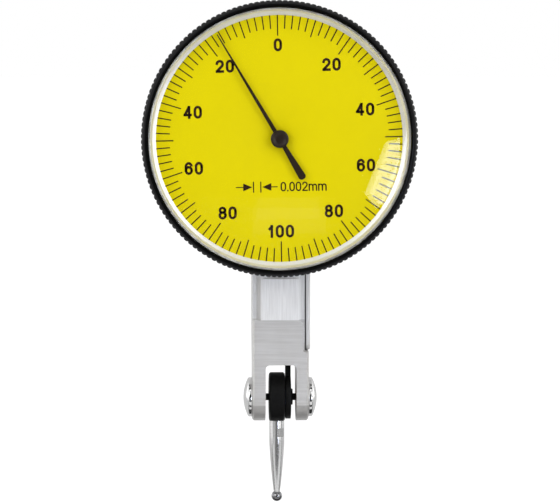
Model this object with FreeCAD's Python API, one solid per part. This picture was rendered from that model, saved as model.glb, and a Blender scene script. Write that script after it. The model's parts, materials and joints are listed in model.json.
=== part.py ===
import FreeCAD, Part
import math
import os

# A lever type dial test indicator with a 40 mm dial and 0.2 mm to one turn of the pointer.
# All lengths are millimetres and all angles are degrees.
# X runs to the right of the dial, Y from the dial to the back, Z up.
# The origin lies on the face of the back dovetail, in line with the pointer's axis.

# Case
CASE_TOP = 16.7  # above the pointer's axis
CASE_WALL = 1.2  # left wall, beside the movement
CROWN_ROOM = 0.46  # between the left wall and the crown wheel
CROWN_BACK_ROOM = 0.39  # between the back wall and the crown wheel
CROWN_FRONT_ROOM = 0.29  # between the front wall and the crown wheel
COVER_PROUD = 0.27  # of the side cover, past the case's right face
FRONT_WALL = 1.5
BACK_WALL = 0.9
CASE_EDGE = 0.25  # chamfer along the long outer edges
LOWER_SLOPE_START = 26.0  # below the pointer's axis
LOWER_SLOPE_END = 34.0
CAVITY_TOP_WALL = 3.7
CAVITY_NECK = 18.0  # below this the cavity clears the front dovetail's floor
CAVITY_BOTTOM = 27.6
CAVITY_CORNER = 0.8
CAVITY_FOOT_INSET = 0.3  # of its lower back wall, in front of the ears' back
CAVITY_SLOPE = 2.0  # height of the slope of its back wall
CAVITY_SLOPE_RISE = 2.4  # of that slope, above the case's own

# Dovetails for the holder
DOVETAIL_WIDTH = 5.85
DOVETAIL_HEIGHT = 1.5
DOVETAIL_FLANK = 60.0
BACK_DOVETAIL_TOP = 13.0
BACK_DOVETAIL_BOTTOM = 25.0
FRONT_DOVETAIL_TOP = 20.7
FRONT_DOVETAIL_LENGTH = 6.1
FRONT_RELIEF = 2.2  # run-in above the front dovetail
SEAM_NOTCH_WIDTH = 0.9
SEAM_NOTCH_CORNER = 0.6

# Side cover
COVER_THICK = 0.74
COVER_ROOM = 0.25  # between the movement bridge and the cover
COVER_BOTTOM = 31.5
COVER_TOP_MARGIN = 0.7
COVER_MARGIN = 0.12
COVER_CORNER = 0.9
COVER_SCREW_RISE = 2.2  # of its lowest screw, above its bottom
COVER_SCREW_INSET = 1.9  # of that screw, from the case's slope
COVER_SEAM = 0.14
COVER_SEAT_CORNER = 0.5

# Fork and stylus pivot
PIVOT_DROP = 38.5  # below the pointer's axis
EAR_DEPTH = 7.0
SLOT_WIDTH = 4.54
SLOT_SIDE = 0.05  # the slot lies this far to the right of the case's middle
SLOT_TOP = 33.45
SLOT_CORNER = 0.6
PIVOT_SHAFT_DIAMETER = 1.04
PIVOT_BUSH_DIAMETER = 2.6
PIVOT_CAP_DIAMETER = 5.8
PIVOT_CAP_HEIGHT = 1.3
PIVOT_CAP_RIM = 0.42
PIVOT_CAP_WALL = 0.5
SHAFT_STAND_OUT = 0.4

# Stylus
HUB_DIAMETER = 7.3
HUB_WIDTH = 2.3
HUB_SIDE = -0.12  # the middle of the hub, from the pointer's axis
HUB_EDGE = 0.22
HUB_SEAT = 0.2  # depth of the flat on the hub that the shank's shoulder sits on
STYLUS_ROOT_DIAMETER = 2.22
STYLUS_NECK_DIAMETER = 0.92
STYLUS_STRAIGHT = 3.2  # full diameter this far below the hub
STUD_DIAMETER = 1.2
STUD_LENGTH = 1.7
BALL_DIAMETER = 1.6
FLAT_START = 0.95  # below the hub
FLAT_HEIGHT = 1.25
FLAT_DEPTH = 0.24
FLAT_TURN = 42.0  # from straight ahead towards the right
CLIP_THICK = 0.25
CLIP_SUNK = 0.1  # below the hub's left face
CLIP_DIAMETER = 2.0
WASHER_THICK = 0.3
WASHER_DIAMETER = 3.4
RECESS_PLAY = 0.1  # on the radius, round the clip and the washer
HUB_GAP = 0.1  # between the hub and the lever's disc

# Lever
LEVER_THICK = 0.78
LEVER_DISC_DIAMETER = 6.5
LEVER_BOSS_DIAMETER = 2.4
LEVER_BOSS_HEIGHT = 0.3
LEVER_FOOT_WIDTH = 2.2
LEVER_END_WIDTH = 1.4
DRIVE_PIN_DIAMETER = 0.6
DRIVE_PIN_PLAY = 0.05

# Movement
POINTER_TRAVEL = 450.0
MEASURE_PER_TURN = 0.2  # at the ball, for one turn of the pointer, which fixes the length of the stylus
LEVER_RATIO = 12  # sector turn for one turn of the lever
SECTOR_TEETH = 164
ARBOR_PINION_TEETH = 12
SECTOR_MODULE = 0.16
CROWN_TEETH = 34
CENTRE_PINION_TEETH = 12
CROWN_MODULE = 0.2
TOOTH_SHARE = 0.40  # of the pitch, at the pitch line
TOOTH_TOP = 0.95  # of the module, above the pitch line
TOOTH_BOTTOM = 1.25  # of the module, below the pitch line
FLANK_SLOPE = 24.0
CROWN_FACE = 0.62
CROWN_THICK = 0.65
CROWN_HUB_DIAMETER = 2.4
CROWN_HOLES = 4
CROWN_HOLE_DIAMETER = 1.1
CROWN_HOLE_CIRCLE = 4.0
CENTRE_PINION_LENGTH = 0.8
ARBOR_DIAMETER = 0.8
SECTOR_ARBOR_DIAMETER = 1.0
RUNNING_FIT = 0.03  # between a shaft and its bush, on the radius
ASSEMBLY_FIT = 0.02  # between fixed pieces, on the radius
SECTOR_THICK = 0.7
SECTOR_GAP = 0.15  # between the lever's plane and the sector's plane
SECTOR_HUB_DIAMETER = 3.0
SECTOR_TAIL_WIDTH = 1.9
SECTOR_RIM = 1.3
SECTOR_WEB = 2.2  # solid part round the hub
SECTOR_OPENING_FOOT = 10.0  # angle that the opening spans at its lower end
SECTOR_OPENING_TOP = 5.6  # and under the rim
BUSH_DIAMETER = 1.8
BUSH_SUNK = 0.8
BRIDGE_THICK = 0.6
BRIDGE_GAP = 0.4  # between the sector's plane and the bridge
BRIDGE_TOP = 7.2
BRIDGE_TAIL = 3.9  # below the sector's arbor
BRIDGE_MARGIN = 0.25
BRIDGE_CORNER = 1.3
POST_DIAMETER = 2.0
POST_INSET = 1.35
STOP_PIN_DIAMETER = 0.7
STOP_PIN_REACH = 9.5
STOP_PIN_PLAY = 0.3

# Dial case and centre bridge
DIAL_CASE_FLOOR = 0.9
DIAL_CASE_FLANGE_INSET = 0.6  # of the flange, behind the tips of the knurl
DIAL_CASE_FLANGE = 1.1
DIAL_CASE_WALL = 1.05
DIAL_CASE_HEIGHT = 3.5
DIAL_CASE_EDGE = 0.3
CENTRE_BUSH_DIAMETER = 2.0
FRONT_BUSH_DIAMETER = 1.6
CENTRE_BRIDGE_HEIGHT = 1.5  # clear height under the bridge
CENTRE_BRIDGE_THICK = 0.6
CENTRE_BRIDGE_WIDTH = 3.2
CENTRE_BRIDGE_REACH = 5.8
PILLAR_DIAMETER = 2.4
HAIRSPRING_TURNS = 4
HAIRSPRING_PITCH = 0.75
HAIRSPRING_STRIP = 0.1
HAIRSPRING_HEIGHT = 0.25
HAIRSPRING_RISE = 0.6  # above the dial case's floor
COLLET_DIAMETER = 1.8
COLLET_HEIGHT = 0.55
STUD_POST_DIAMETER = 0.7

# Bezel, crystal and dial
BEZEL_DIAMETER = 40.0
BEZEL_TEETH = 150
BEZEL_TOOTH_DEPTH = 0.2
BEZEL_TIP_SHARE = 0.5
BEZEL_WALL = 1.45  # from the tips of the knurl to the bore
BEZEL_LIP = 1.05  # from the tips of the knurl to the front opening
BEZEL_RIM_STEP = 0.05  # between the bottom of the teeth and the smooth rim
BEZEL_FIT = 0.1  # on the radius, round the dial case
BEZEL_BACK_GAP = 0.2
BEZEL_SEAT_FIT = 0.04  # on the radius, round the crystal, the light ring and the dial
BEZEL_LEDGE = 0.5
BEZEL_LEDGE_THICK = 0.4
BEZEL_FRONT = 6.55  # in front of the case's front face
BEZEL_ROUND = 0.6
BEZEL_BACK_CHAMFER = 0.4
DIAL_THICK = 0.4
DIAL_HOLE_DIAMETER = 2.0
LIGHT_RING_HEIGHT = 1.2
LIGHT_RING_FOOT = 1.01  # its width on the dial
LIGHT_RING_TOP = 0.31  # its width under the crystal
CRYSTAL_EDGE = 0.75
CRYSTAL_WALL = 1.0
CRYSTAL_THICK = 0.9
CRYSTAL_DOME = 1.0
CRYSTAL_CHAMFER = 0.3
SPRING_WIRE = 0.44
SPRING_GROOVE_PLAY = 0.08
SPRING_ROOM = 0.18  # behind the spring ring, for pressing it in
SPRING_OPEN = 40.0

# Pointer
POINTER_TURN = -30.9  # from straight up, clockwise seen from the front
POINTER_TIP_GAP = 0.35  # between its tip and the light ring
POINTER_TAIL = 6.75
POINTER_WIDTH = 0.64
POINTER_TIP_WIDTH = 0.16
TAIL_WIDTH = 0.5
TAIL_END_WIDTH = 1.14
POINTER_THICK = 0.18
POINTER_RISE = 0.6  # above the dial
POINTER_HUB_DIAMETER = 2.6
POINTER_HUB_HEIGHT = 0.5
POINTER_TUBE_DIAMETER = 1.4

# Screws
COVER_SCREW_HEAD = 2.0
COVER_SCREW_SHANK = 1.0
COVER_SCREW_LENGTH = 2.4
SMALL_SCREW_HEAD = 1.7
SMALL_SCREW_SHANK = 0.9
SMALL_SCREW_LENGTH = 1.9
SMALL_SCREW_HEAD_HEIGHT = 0.45
DRIVER_SLOT = 0.22
DIAL_SCREW_SPREAD = 2.3
DIAL_SCREW_HEIGHT = 9.0

# How far a cutter runs past what it cuts
BEYOND = 1.0

# The train: stylus lever, sector, crown wheel, centre pinion
sector_radius = SECTOR_MODULE * SECTOR_TEETH / 2
arbor_pinion_radius = SECTOR_MODULE * ARBOR_PINION_TEETH / 2
crown_radius = CROWN_MODULE * CROWN_TEETH / 2
crown_outer = crown_radius + CROWN_FACE / 2
centre_pinion_radius = CROWN_MODULE * CENTRE_PINION_TEETH / 2
crown_turn = CENTRE_PINION_TEETH / CROWN_TEETH
sector_turn = crown_turn * ARBOR_PINION_TEETH / SECTOR_TEETH
sector_travel = POINTER_TRAVEL * sector_turn
stylus_reach = MEASURE_PER_TURN * LEVER_RATIO / sector_turn / (2 * math.pi)

# The case's planes from back to front, with the crown wheel between its walls
back_y = -DOVETAIL_HEIGHT
cavity_back = back_y - BACK_WALL
arbor_y = cavity_back - CROWN_BACK_ROOM - crown_outer
mesh_y = arbor_y - crown_radius
cavity_front = arbor_y - crown_outer - CROWN_FRONT_ROOM
front_y = cavity_front - FRONT_WALL
floor_y = front_y + DOVETAIL_HEIGHT
ear_back_y = front_y + EAR_DEPTH
lower_slope = (back_y - ear_back_y) / (LOWER_SLOPE_END - LOWER_SLOPE_START)
dovetail_root = DOVETAIL_WIDTH - 2 * DOVETAIL_HEIGHT / math.tan(math.radians(DOVETAIL_FLANK))

# The pivot, the lever and the sector
pivot_y = front_y + EAR_DEPTH / 2
pivot_z = -PIVOT_DROP
sector_z = -(sector_radius + arbor_pinion_radius)
pivot_to_sector = math.hypot(arbor_y - pivot_y, sector_z - pivot_z)
sector_tail = pivot_to_sector / (LEVER_RATIO + 1)
lever_reach = LEVER_RATIO * sector_tail
lever_lean = math.degrees(math.atan2(arbor_y - pivot_y, sector_z - pivot_z))
hub_left = HUB_SIDE - HUB_WIDTH / 2
hub_right = HUB_SIDE + HUB_WIDTH / 2

# Planes of the movement, from left to right
crown_plane = -centre_pinion_radius
lever_left = hub_right + HUB_GAP
lever_right = lever_left + LEVER_THICK
sector_left = lever_right + SECTOR_GAP
sector_right = sector_left + SECTOR_THICK
bridge_left = sector_right + BRIDGE_GAP
bridge_right = bridge_left + BRIDGE_THICK
cover_left = bridge_right + COVER_ROOM
cover_right = cover_left + COVER_THICK
cavity_left = crown_plane - TOOTH_BOTTOM * CROWN_MODULE - CROWN_THICK - CROWN_ROOM
case_left = cavity_left - CASE_WALL
case_right = cover_right - COVER_PROUD
case_width = case_right - case_left
case_middle = (case_left + case_right) / 2
slot_left = case_middle + SLOT_SIDE - SLOT_WIDTH / 2
slot_right = case_middle + SLOT_SIDE + SLOT_WIDTH / 2

# Planes of the dial, from the case's front face forwards
dial_floor_y = front_y - DIAL_CASE_FLOOR
bridge_back_y = dial_floor_y - CENTRE_BRIDGE_HEIGHT
bridge_front_y = bridge_back_y - CENTRE_BRIDGE_THICK
dial_case_rim_y = front_y - DIAL_CASE_HEIGHT
ledge_back_y = dial_case_rim_y - BEZEL_BACK_GAP
dial_back_y = ledge_back_y - BEZEL_LEDGE_THICK
dial_front_y = dial_back_y - DIAL_THICK
light_ring_y = dial_front_y - LIGHT_RING_HEIGHT
bezel_back_y = front_y - DIAL_CASE_FLANGE - BEZEL_BACK_GAP
bezel_front_y = front_y - BEZEL_FRONT
pointer_y = dial_front_y - POINTER_RISE
pointer_hub_y = pointer_y - POINTER_THICK
pointer_top_y = pointer_hub_y - POINTER_HUB_HEIGHT
spring_y = (front_y - DIAL_CASE_FLANGE + dial_case_rim_y) / 2
bezel_tip = BEZEL_DIAMETER / 2
bezel_bore = bezel_tip - BEZEL_WALL
bezel_opening = bezel_tip - BEZEL_LIP
bezel_seat = bezel_opening - BEZEL_SEAT_FIT
dial_case_outer = bezel_bore - BEZEL_FIT
dial_edge = bezel_seat - LIGHT_RING_FOOT
pointer_reach = dial_edge - POINTER_TIP_GAP

ALONG_X = FreeCAD.Vector(1, 0, 0)
ALONG_Y = FreeCAD.Vector(0, 1, 0)
ALONG_Z = FreeCAD.Vector(0, 0, 1)


def point(x, y, z):
    return FreeCAD.Vector(x, y, z)


def block(x0, x1, y0, y1, z0, z1):
    """A box between two corners."""
    return Part.makeBox(x1 - x0, y1 - y0, z1 - z0, point(x0, y0, z0))


def rod_x(diameter, x0, x1, y, z):
    """A cylinder along X."""
    return Part.makeCylinder(diameter / 2, x1 - x0, point(x0, y, z), ALONG_X)


def rod_y(diameter, y0, y1, x, z):
    """A cylinder along Y."""
    return Part.makeCylinder(diameter / 2, y1 - y0, point(x, y0, z), ALONG_Y)


def tube_x(outer, inner, x0, x1, y, z):
    return rod_x(outer, x0, x1, y, z).cut(rod_x(inner, x0 - BEYOND, x1 + BEYOND, y, z))


def tube_y(outer, inner, y0, y1, x, z):
    return rod_y(outer, y0, y1, x, z).cut(rod_y(inner, y0 - BEYOND, y1 + BEYOND, x, z))


def fused(shapes):
    """One solid from pieces that overlap."""
    whole = shapes[0].multiFuse(shapes[1:])
    return whole.removeSplitter()


def flat_outline(corners, radii, place):
    """A closed wire through flat corners, each rounded by its radius."""
    edges = []
    ends = []
    count = len(corners)
    for i in range(count):
        before = FreeCAD.Vector(*corners[i - 1], 0)
        here = FreeCAD.Vector(*corners[i], 0)
        after = FreeCAD.Vector(*corners[(i + 1) % count], 0)
        radius = radii[i] if isinstance(radii, (list, tuple)) else radii
        if radius <= 0:
            ends.append((here, here, here))
            continue
        to_before = (before - here).normalize()
        to_after = (after - here).normalize()
        half = to_before.getAngle(to_after) / 2
        along = radius / math.tan(half)
        middle = (to_before + to_after).normalize()
        centre = here + middle * (radius / math.sin(half))
        ends.append((here + to_before * along, centre - middle * radius, here + to_after * along))
    for i in range(count):
        first, top, last = ends[i]
        if (first - last).Length > 1e-6:
            edges.append(Part.Arc(place(first), place(top), place(last)).toShape())
        following = ends[(i + 1) % count][0]
        if (following - last).Length > 1e-6:
            edges.append(Part.LineSegment(place(last), place(following)).toShape())
    return Part.Wire(edges)


def plate_x(corners, radii, x0, x1):
    """A plate across X from an outline of (y, z) corners."""
    wire = flat_outline(corners, radii, lambda p: point(x0, p.x, p.y))
    return Part.Face(wire).extrude(point(x1 - x0, 0, 0))


def plate_y(corners, radii, y0, y1):
    """A plate across Y from an outline of (x, z) corners."""
    wire = flat_outline(corners, radii, lambda p: point(p.x, y0, p.y))
    return Part.Face(wire).extrude(point(0, y1 - y0, 0))


def plate_z(corners, radii, z0, z1):
    """A plate across Z from an outline of (x, y) corners."""
    wire = flat_outline(corners, radii, lambda p: point(p.x, p.y, z0))
    return Part.Face(wire).extrude(point(0, 0, z1 - z0))


def turned(corners, radii):
    """A body turned about the pointer's axis from an outline of (radius, y) corners."""
    wire = flat_outline(corners, radii, lambda p: point(p.x, p.y, 0))
    return Part.Face(wire).revolve(point(0, 0, 0), ALONG_Y, 360)


def polygon_x(corners, x0, x1):
    """A prism across X from straight sides only."""
    wire = Part.makePolygon([point(x0, y, z) for y, z in corners + corners[:1]])
    return Part.Face(wire).extrude(point(x1 - x0, 0, 0))


def polygon_y(corners, y0, y1):
    """A prism across Y from straight sides only."""
    wire = Part.makePolygon([point(x, y0, z) for x, z in corners + corners[:1]])
    return Part.Face(wire).extrude(point(0, y1 - y0, 0))


def tooth_corners(module, teeth, first, count):
    """Corners of straight-sided gear teeth, as (radius, angle) with angles in degrees."""
    pitch = 360 / teeth
    pitch_radius = module * teeth / 2
    top = pitch_radius + TOOTH_TOP * module
    bottom = pitch_radius - TOOTH_BOTTOM * module
    slope = math.tan(math.radians(FLANK_SLOPE))
    half_width = TOOTH_SHARE * math.pi * module / 2
    top_half = math.degrees((half_width - TOOTH_TOP * module * slope) / top)
    bottom_half = math.degrees((half_width + TOOTH_BOTTOM * module * slope * 0.5) / bottom)
    corners = []
    for i in range(count):
        middle = first + i * pitch
        corners += [(bottom, middle - bottom_half), (top, middle - top_half)]
        corners += [(top, middle + top_half), (bottom, middle + bottom_half)]
    return corners


def gear_corners(module, teeth, first):
    """A full wheel's corners as flat points, the angle counted from the second axis."""
    corners = tooth_corners(module, teeth, first, teeth)
    return [(r * math.sin(math.radians(a)), r * math.cos(math.radians(a))) for r, a in corners]


def dovetail_corners(middle, face, step):
    """Corners of a dovetail rib whose face lies at face and whose root lies at face + step."""
    wide = DOVETAIL_WIDTH / 2
    narrow = dovetail_root / 2
    sunk = 0.3 if step > 0 else -0.3
    return [
        (middle - wide, face),
        (middle + wide, face),
        (middle + narrow, face + step),
        (middle + narrow, face + step + sunk),
        (middle - narrow, face + step + sunk),
        (middle - narrow, face + step),
    ]


def bridge_posts():
    """Centres (y, z) of the posts that carry the movement bridge."""
    front = cavity_front + POST_INSET
    back = cavity_back - POST_INSET
    top = BRIDGE_TOP - POST_INSET + BRIDGE_MARGIN
    bottom = sector_z - BRIDGE_TAIL + POST_INSET - BRIDGE_MARGIN
    return [(front, top), (back, top), (front, bottom), (back, bottom)]


def cover_screw_places():
    """Centres (y, z) of the side cover's screws."""
    top = CASE_TOP - CAVITY_TOP_WALL / 2
    low = COVER_BOTTOM - COVER_SCREW_RISE
    back = back_y - (low - LOWER_SLOPE_START) * lower_slope - COVER_SCREW_INSET
    return [(cavity_front + 1.2, top), (cavity_back - 1.2, top), (back, -low)]


def dial_screw_places():
    """Centres (x, z) of the screws that hold the dial case to the case."""
    return [(side * DIAL_SCREW_SPREAD, up * DIAL_SCREW_HEIGHT) for side in (-1, 1) for up in (-1, 1)]


def case_blank():
    """The outside of the case with its fork, before the cavity."""
    round_foot = [
        Part.LineSegment(point(0, front_y, CASE_TOP), point(0, back_y, CASE_TOP)),
        Part.LineSegment(point(0, back_y, CASE_TOP), point(0, back_y, -LOWER_SLOPE_START)),
        Part.LineSegment(point(0, back_y, -LOWER_SLOPE_START), point(0, ear_back_y, -LOWER_SLOPE_END)),
        Part.LineSegment(point(0, ear_back_y, -LOWER_SLOPE_END), point(0, ear_back_y, pivot_z)),
        Part.Arc(
            point(0, ear_back_y, pivot_z),
            point(0, pivot_y, pivot_z - EAR_DEPTH / 2),
            point(0, front_y, pivot_z),
        ),
        Part.LineSegment(point(0, front_y, pivot_z), point(0, front_y, CASE_TOP)),
    ]
    side = Part.Wire([line.toShape() for line in round_foot])
    side.translate(point(case_left, 0, 0))
    blank = Part.Face(side).extrude(point(case_width, 0, 0))
    long_edges = []
    for edge in blank.Edges:
        box = edge.BoundBox
        along_side = box.XLength < 0.01 and box.XMin < case_left + 0.01
        if along_side or (box.XLength < 0.01 and box.ZMax < -COVER_BOTTOM + BEYOND):
            long_edges.append(edge)
    return blank.makeChamfer(CASE_EDGE, long_edges)


def case_cuts():
    """What is taken off the outside of the case."""
    far = 2.0
    dovetail_bottom = FRONT_DOVETAIL_TOP + FRONT_DOVETAIL_LENGTH
    strip_top = -FRONT_DOVETAIL_TOP + FRONT_RELIEF
    cover_rebate = plate_y(
        [
            (cover_left, -COVER_BOTTOM),
            (case_right + far, -COVER_BOTTOM),
            (case_right + far, CASE_TOP + far),
            (cover_left, CASE_TOP + far),
        ],
        [COVER_SEAT_CORNER, 0, 0, 0],
        front_y - far,
        far,
    )
    strips = block(case_left - far, case_right + far, front_y - far, floor_y, -dovetail_bottom, strip_top)
    rib_corners = dovetail_corners(case_middle, front_y, DOVETAIL_HEIGHT)
    rib = plate_z(rib_corners, 0, -dovetail_bottom, -FRONT_DOVETAIL_TOP)
    notch_left = case_right - SEAM_NOTCH_WIDTH
    notch = plate_y(
        [
            (notch_left, -COVER_BOTTOM),
            (case_right + far, -COVER_BOTTOM),
            (case_right + far, -dovetail_bottom + 0.1),
            (notch_left - SEAM_NOTCH_CORNER, -dovetail_bottom + 0.1),
            (notch_left, -dovetail_bottom - SEAM_NOTCH_CORNER),
        ],
        [0.3, 0, 0, 0, 0],
        front_y - far,
        floor_y,
    )
    slot = plate_y(
        [
            (slot_left, pivot_z - EAR_DEPTH),
            (slot_right, pivot_z - EAR_DEPTH),
            (slot_right, -SLOT_TOP),
            (slot_left, -SLOT_TOP),
        ],
        [0, 0, SLOT_CORNER, SLOT_CORNER],
        front_y - far,
        far,
    )
    return [cover_rebate, strips.cut(rib), notch, slot]


def case_cavity():
    """The space for the movement, open on the right under the side cover."""
    slope_end = -LOWER_SLOPE_START + CAVITY_SLOPE_RISE
    outline = [
        (cavity_front, CASE_TOP - CAVITY_TOP_WALL),
        (cavity_front, -CAVITY_NECK),
        (floor_y + BACK_WALL, -CAVITY_NECK),
        (floor_y + BACK_WALL, -CAVITY_BOTTOM),
        (ear_back_y - CAVITY_FOOT_INSET, -CAVITY_BOTTOM),
        (ear_back_y - CAVITY_FOOT_INSET, slope_end),
        (cavity_back, slope_end + CAVITY_SLOPE),
        (cavity_back, CASE_TOP - CAVITY_TOP_WALL),
    ]
    small = CAVITY_CORNER * 0.6
    corners = [CAVITY_CORNER, 0, 0, small, small, 0, 0, CAVITY_CORNER]
    cavity = plate_x(outline, corners, cavity_left, case_right + BEYOND)
    window_rise = PIVOT_DROP - (SLOT_TOP + CAVITY_BOTTOM) / 2
    lever_y = pivot_y + window_rise * math.tan(math.radians(lever_lean))
    half = LEVER_FOOT_WIDTH / 2 + 0.5
    window = block(
        lever_left - 0.3,
        lever_right + 0.3,
        lever_y - half,
        lever_y + half,
        -SLOT_TOP - 0.5,
        -CAVITY_BOTTOM + 0.5,
    )
    return cavity.fuse(window)


def make_case_body():
    body = case_blank().cut(case_cuts()[0])
    for cutter in case_cuts()[1:]:
        body = body.cut(cutter)
    back_corners = dovetail_corners(case_middle, 0, back_y)
    back_rib = plate_z(back_corners, 0, -BACK_DOVETAIL_BOTTOM, BACK_DOVETAIL_TOP)
    top_face = CASE_TOP + DOVETAIL_HEIGHT
    top_corners = dovetail_corners(case_middle, top_face, -DOVETAIL_HEIGHT)
    top_rib = plate_y(top_corners, 0, front_y + BEYOND, back_y)
    body = fused([body, back_rib, top_rib])
    body = body.cut(case_cavity())
    posts = [rod_x(POST_DIAMETER, cavity_left - 0.3, bridge_left, y, z) for y, z in bridge_posts()]
    body = fused([body] + posts)
    holes = []
    for y, z in bridge_posts():
        deep = bridge_left - SMALL_SCREW_LENGTH
        holes.append(rod_x(SMALL_SCREW_SHANK, deep, bridge_left + BEYOND, y, z))
    for y, z in cover_screw_places():
        deep = cover_left - COVER_SCREW_LENGTH
        holes.append(rod_x(COVER_SCREW_SHANK, deep, cover_left + BEYOND, y, z))
    for x, z in dial_screw_places():
        holes.append(rod_y(SMALL_SCREW_SHANK, front_y - BEYOND, cavity_front - 0.2, x, z))
    holes.append(rod_y(CENTRE_BUSH_DIAMETER, front_y - BEYOND, cavity_front + 0.5, 0, 0))
    for z in (0, sector_z):
        holes.append(rod_x(BUSH_DIAMETER, cavity_left - BUSH_SUNK, cavity_left + 0.5, arbor_y, z))
    holes.append(rod_x(PIVOT_BUSH_DIAMETER, case_left - BEYOND, case_right + BEYOND, pivot_y, pivot_z))
    for hole in holes:
        body = body.cut(hole)
    return body


def make_side_cover():
    front = floor_y + COVER_MARGIN
    back = back_y - COVER_MARGIN - CASE_EDGE
    top = CASE_TOP - COVER_TOP_MARGIN
    bottom = -COVER_BOTTOM + COVER_SEAM
    foot = back - (COVER_BOTTOM - COVER_SEAM - LOWER_SLOPE_START) * lower_slope
    outline = [(front, bottom), (foot, bottom), (back, -LOWER_SLOPE_START), (back, top), (front, top)]
    cover = plate_x(outline, COVER_CORNER, cover_left, cover_right)
    rims = [edge for edge in cover.Edges if edge.BoundBox.XLength < 0.01]
    cover = cover.makeChamfer(COVER_SEAM, rims)
    right = cover_right + 1
    seat = [(cover_left, bottom), (right, bottom), (right, top), (cover_left, top)]
    cover = cover.common(plate_y(seat, [COVER_SEAT_CORNER, 0, 0, 0], front - BEYOND, back + BEYOND))
    for y, z in cover_screw_places():
        cover = cover.cut(cover_screw_blank(y, z, COVER_SCREW_SHANK, ASSEMBLY_FIT))
    return cover


def screw_x(face, y, z, head, shank, length, play=0.0):
    """A countersunk screw whose head is flush with a face that looks to the right."""
    depth = (head - shank) / 2
    cone = Part.makeCone(shank / 2 + play, head / 2 + play, depth, point(face - depth, y, z), ALONG_X)
    return cone.fuse(rod_x(shank + 2 * play, face - length, face - depth + 0.01, y, z))


def cover_screw_blank(y, z, shank, play=0.0):
    """A screw of the side cover without its driver slot."""
    return screw_x(cover_right, y, z, COVER_SCREW_HEAD, shank, COVER_SCREW_LENGTH, play)


def bridge_screw_blank(y, z, shank, play=0.0):
    """A screw of the movement bridge without its driver slot."""
    return screw_x(bridge_right, y, z, SMALL_SCREW_HEAD, shank, SMALL_SCREW_LENGTH, play)


def slotted_x(screw, face, y, z, head):
    """The screw with its driver slot."""
    half = DRIVER_SLOT / 2
    deep = DRIVER_SLOT
    return screw.cut(block(face - deep, face + BEYOND, y - head, y + head, z - half, z + half))


def screw_y(face, x, z, head, shank, length):
    """A cheese-head screw whose head stands on a face that looks forwards."""
    top = face - SMALL_SCREW_HEAD_HEIGHT
    screw = fused([rod_y(head, top, face, x, z), rod_y(shank - 2 * ASSEMBLY_FIT, top, face + length, x, z)])
    half = DRIVER_SLOT / 2
    return screw.cut(block(x - head, x + head, top - BEYOND, top + DRIVER_SLOT, z - half, z + half))


def make_side_cover_screws():
    screws = []
    for y, z in cover_screw_places():
        shank = COVER_SCREW_SHANK - 2 * ASSEMBLY_FIT
        screw = cover_screw_blank(y, z, shank)
        screws.append(slotted_x(screw, cover_right, y, z, COVER_SCREW_HEAD))
    return Part.makeCompound(screws)


def make_movement_bridge():
    front = cavity_front + BRIDGE_MARGIN
    back = cavity_back - BRIDGE_MARGIN
    bottom = sector_z - BRIDGE_TAIL
    outline = [(front, bottom), (back, bottom), (back, BRIDGE_TOP), (front, BRIDGE_TOP)]
    plate = plate_x(outline, BRIDGE_CORNER, bridge_left, bridge_right)
    window_top = -2.2
    window_bottom = sector_z + 2.2
    window = [
        (front + 2.1, window_bottom + 3.0),
        (arbor_y, window_bottom),
        (back - 2.1, window_bottom + 3.0),
        (back - 2.1, window_top),
        (front + 2.1, window_top),
    ]
    plate = plate.cut(plate_x(window, 0.5, bridge_left - BEYOND, bridge_right + BEYOND))
    for z in (0, sector_z):
        plate = plate.cut(rod_x(BUSH_DIAMETER, bridge_left - BEYOND, bridge_right + BEYOND, arbor_y, z))
    for y, z in bridge_posts():
        plate = plate.cut(bridge_screw_blank(y, z, SMALL_SCREW_SHANK, ASSEMBLY_FIT))
    for y, z in stop_pin_places():
        plate = plate.cut(rod_x(STOP_PIN_DIAMETER, bridge_left - BEYOND, bridge_right + BEYOND, y, z))
    return plate


def make_movement_bridge_screws():
    screws = []
    shank = SMALL_SCREW_SHANK - 2 * ASSEMBLY_FIT
    for y, z in bridge_posts():
        screw = bridge_screw_blank(y, z, shank)
        screws.append(slotted_x(screw, bridge_right, y, z, SMALL_SCREW_HEAD))
    return Part.makeCompound(screws)


def sector_span():
    """First and last angle of the toothed arc at rest, from straight up towards the back."""
    pitch = 360 / SECTOR_TEETH
    count = math.ceil(sector_travel / pitch) + 2
    return -1.5 * pitch, (count - 1.5) * pitch, count


def stop_pin_places():
    """Centres (y, z) of the pins that end the sector's swing."""
    first, last, _ = sector_span()
    room = math.degrees((STOP_PIN_DIAMETER / 2 + STOP_PIN_PLAY) / STOP_PIN_REACH)
    angles = (last + room, first - sector_travel - room)
    return [
        (
            arbor_y + STOP_PIN_REACH * math.sin(math.radians(angle)),
            sector_z + STOP_PIN_REACH * math.cos(math.radians(angle)),
        )
        for angle in angles
    ]


def make_travel_stop_pins():
    return Part.makeCompound(
        [rod_x(STOP_PIN_DIAMETER, sector_left, bridge_right, y, z) for y, z in stop_pin_places()]
    )


def arbor_bushes(z, diameter):
    """The two bushes of an arbor, one in the case's left wall and one in the bridge."""
    bore = diameter + 2 * RUNNING_FIT
    left = tube_x(BUSH_DIAMETER, bore, cavity_left - BUSH_SUNK, cavity_left + 0.15, arbor_y, z)
    right = tube_x(BUSH_DIAMETER, bore, bridge_left - 0.1, bridge_right, arbor_y, z)
    return Part.makeCompound([left, right])


def make_crown_bushes():
    return arbor_bushes(0, ARBOR_DIAMETER)


def make_sector_bushes():
    return arbor_bushes(sector_z, SECTOR_ARBOR_DIAMETER)


def pivot_bush(x0, x1):
    bore = PIVOT_SHAFT_DIAMETER + 2 * RUNNING_FIT
    return tube_x(PIVOT_BUSH_DIAMETER, bore, x0, x1, pivot_y, pivot_z)


def make_pivot_bush_left():
    return pivot_bush(case_left, slot_left)


def make_pivot_bush_right():
    return pivot_bush(slot_right, case_right)


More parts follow.
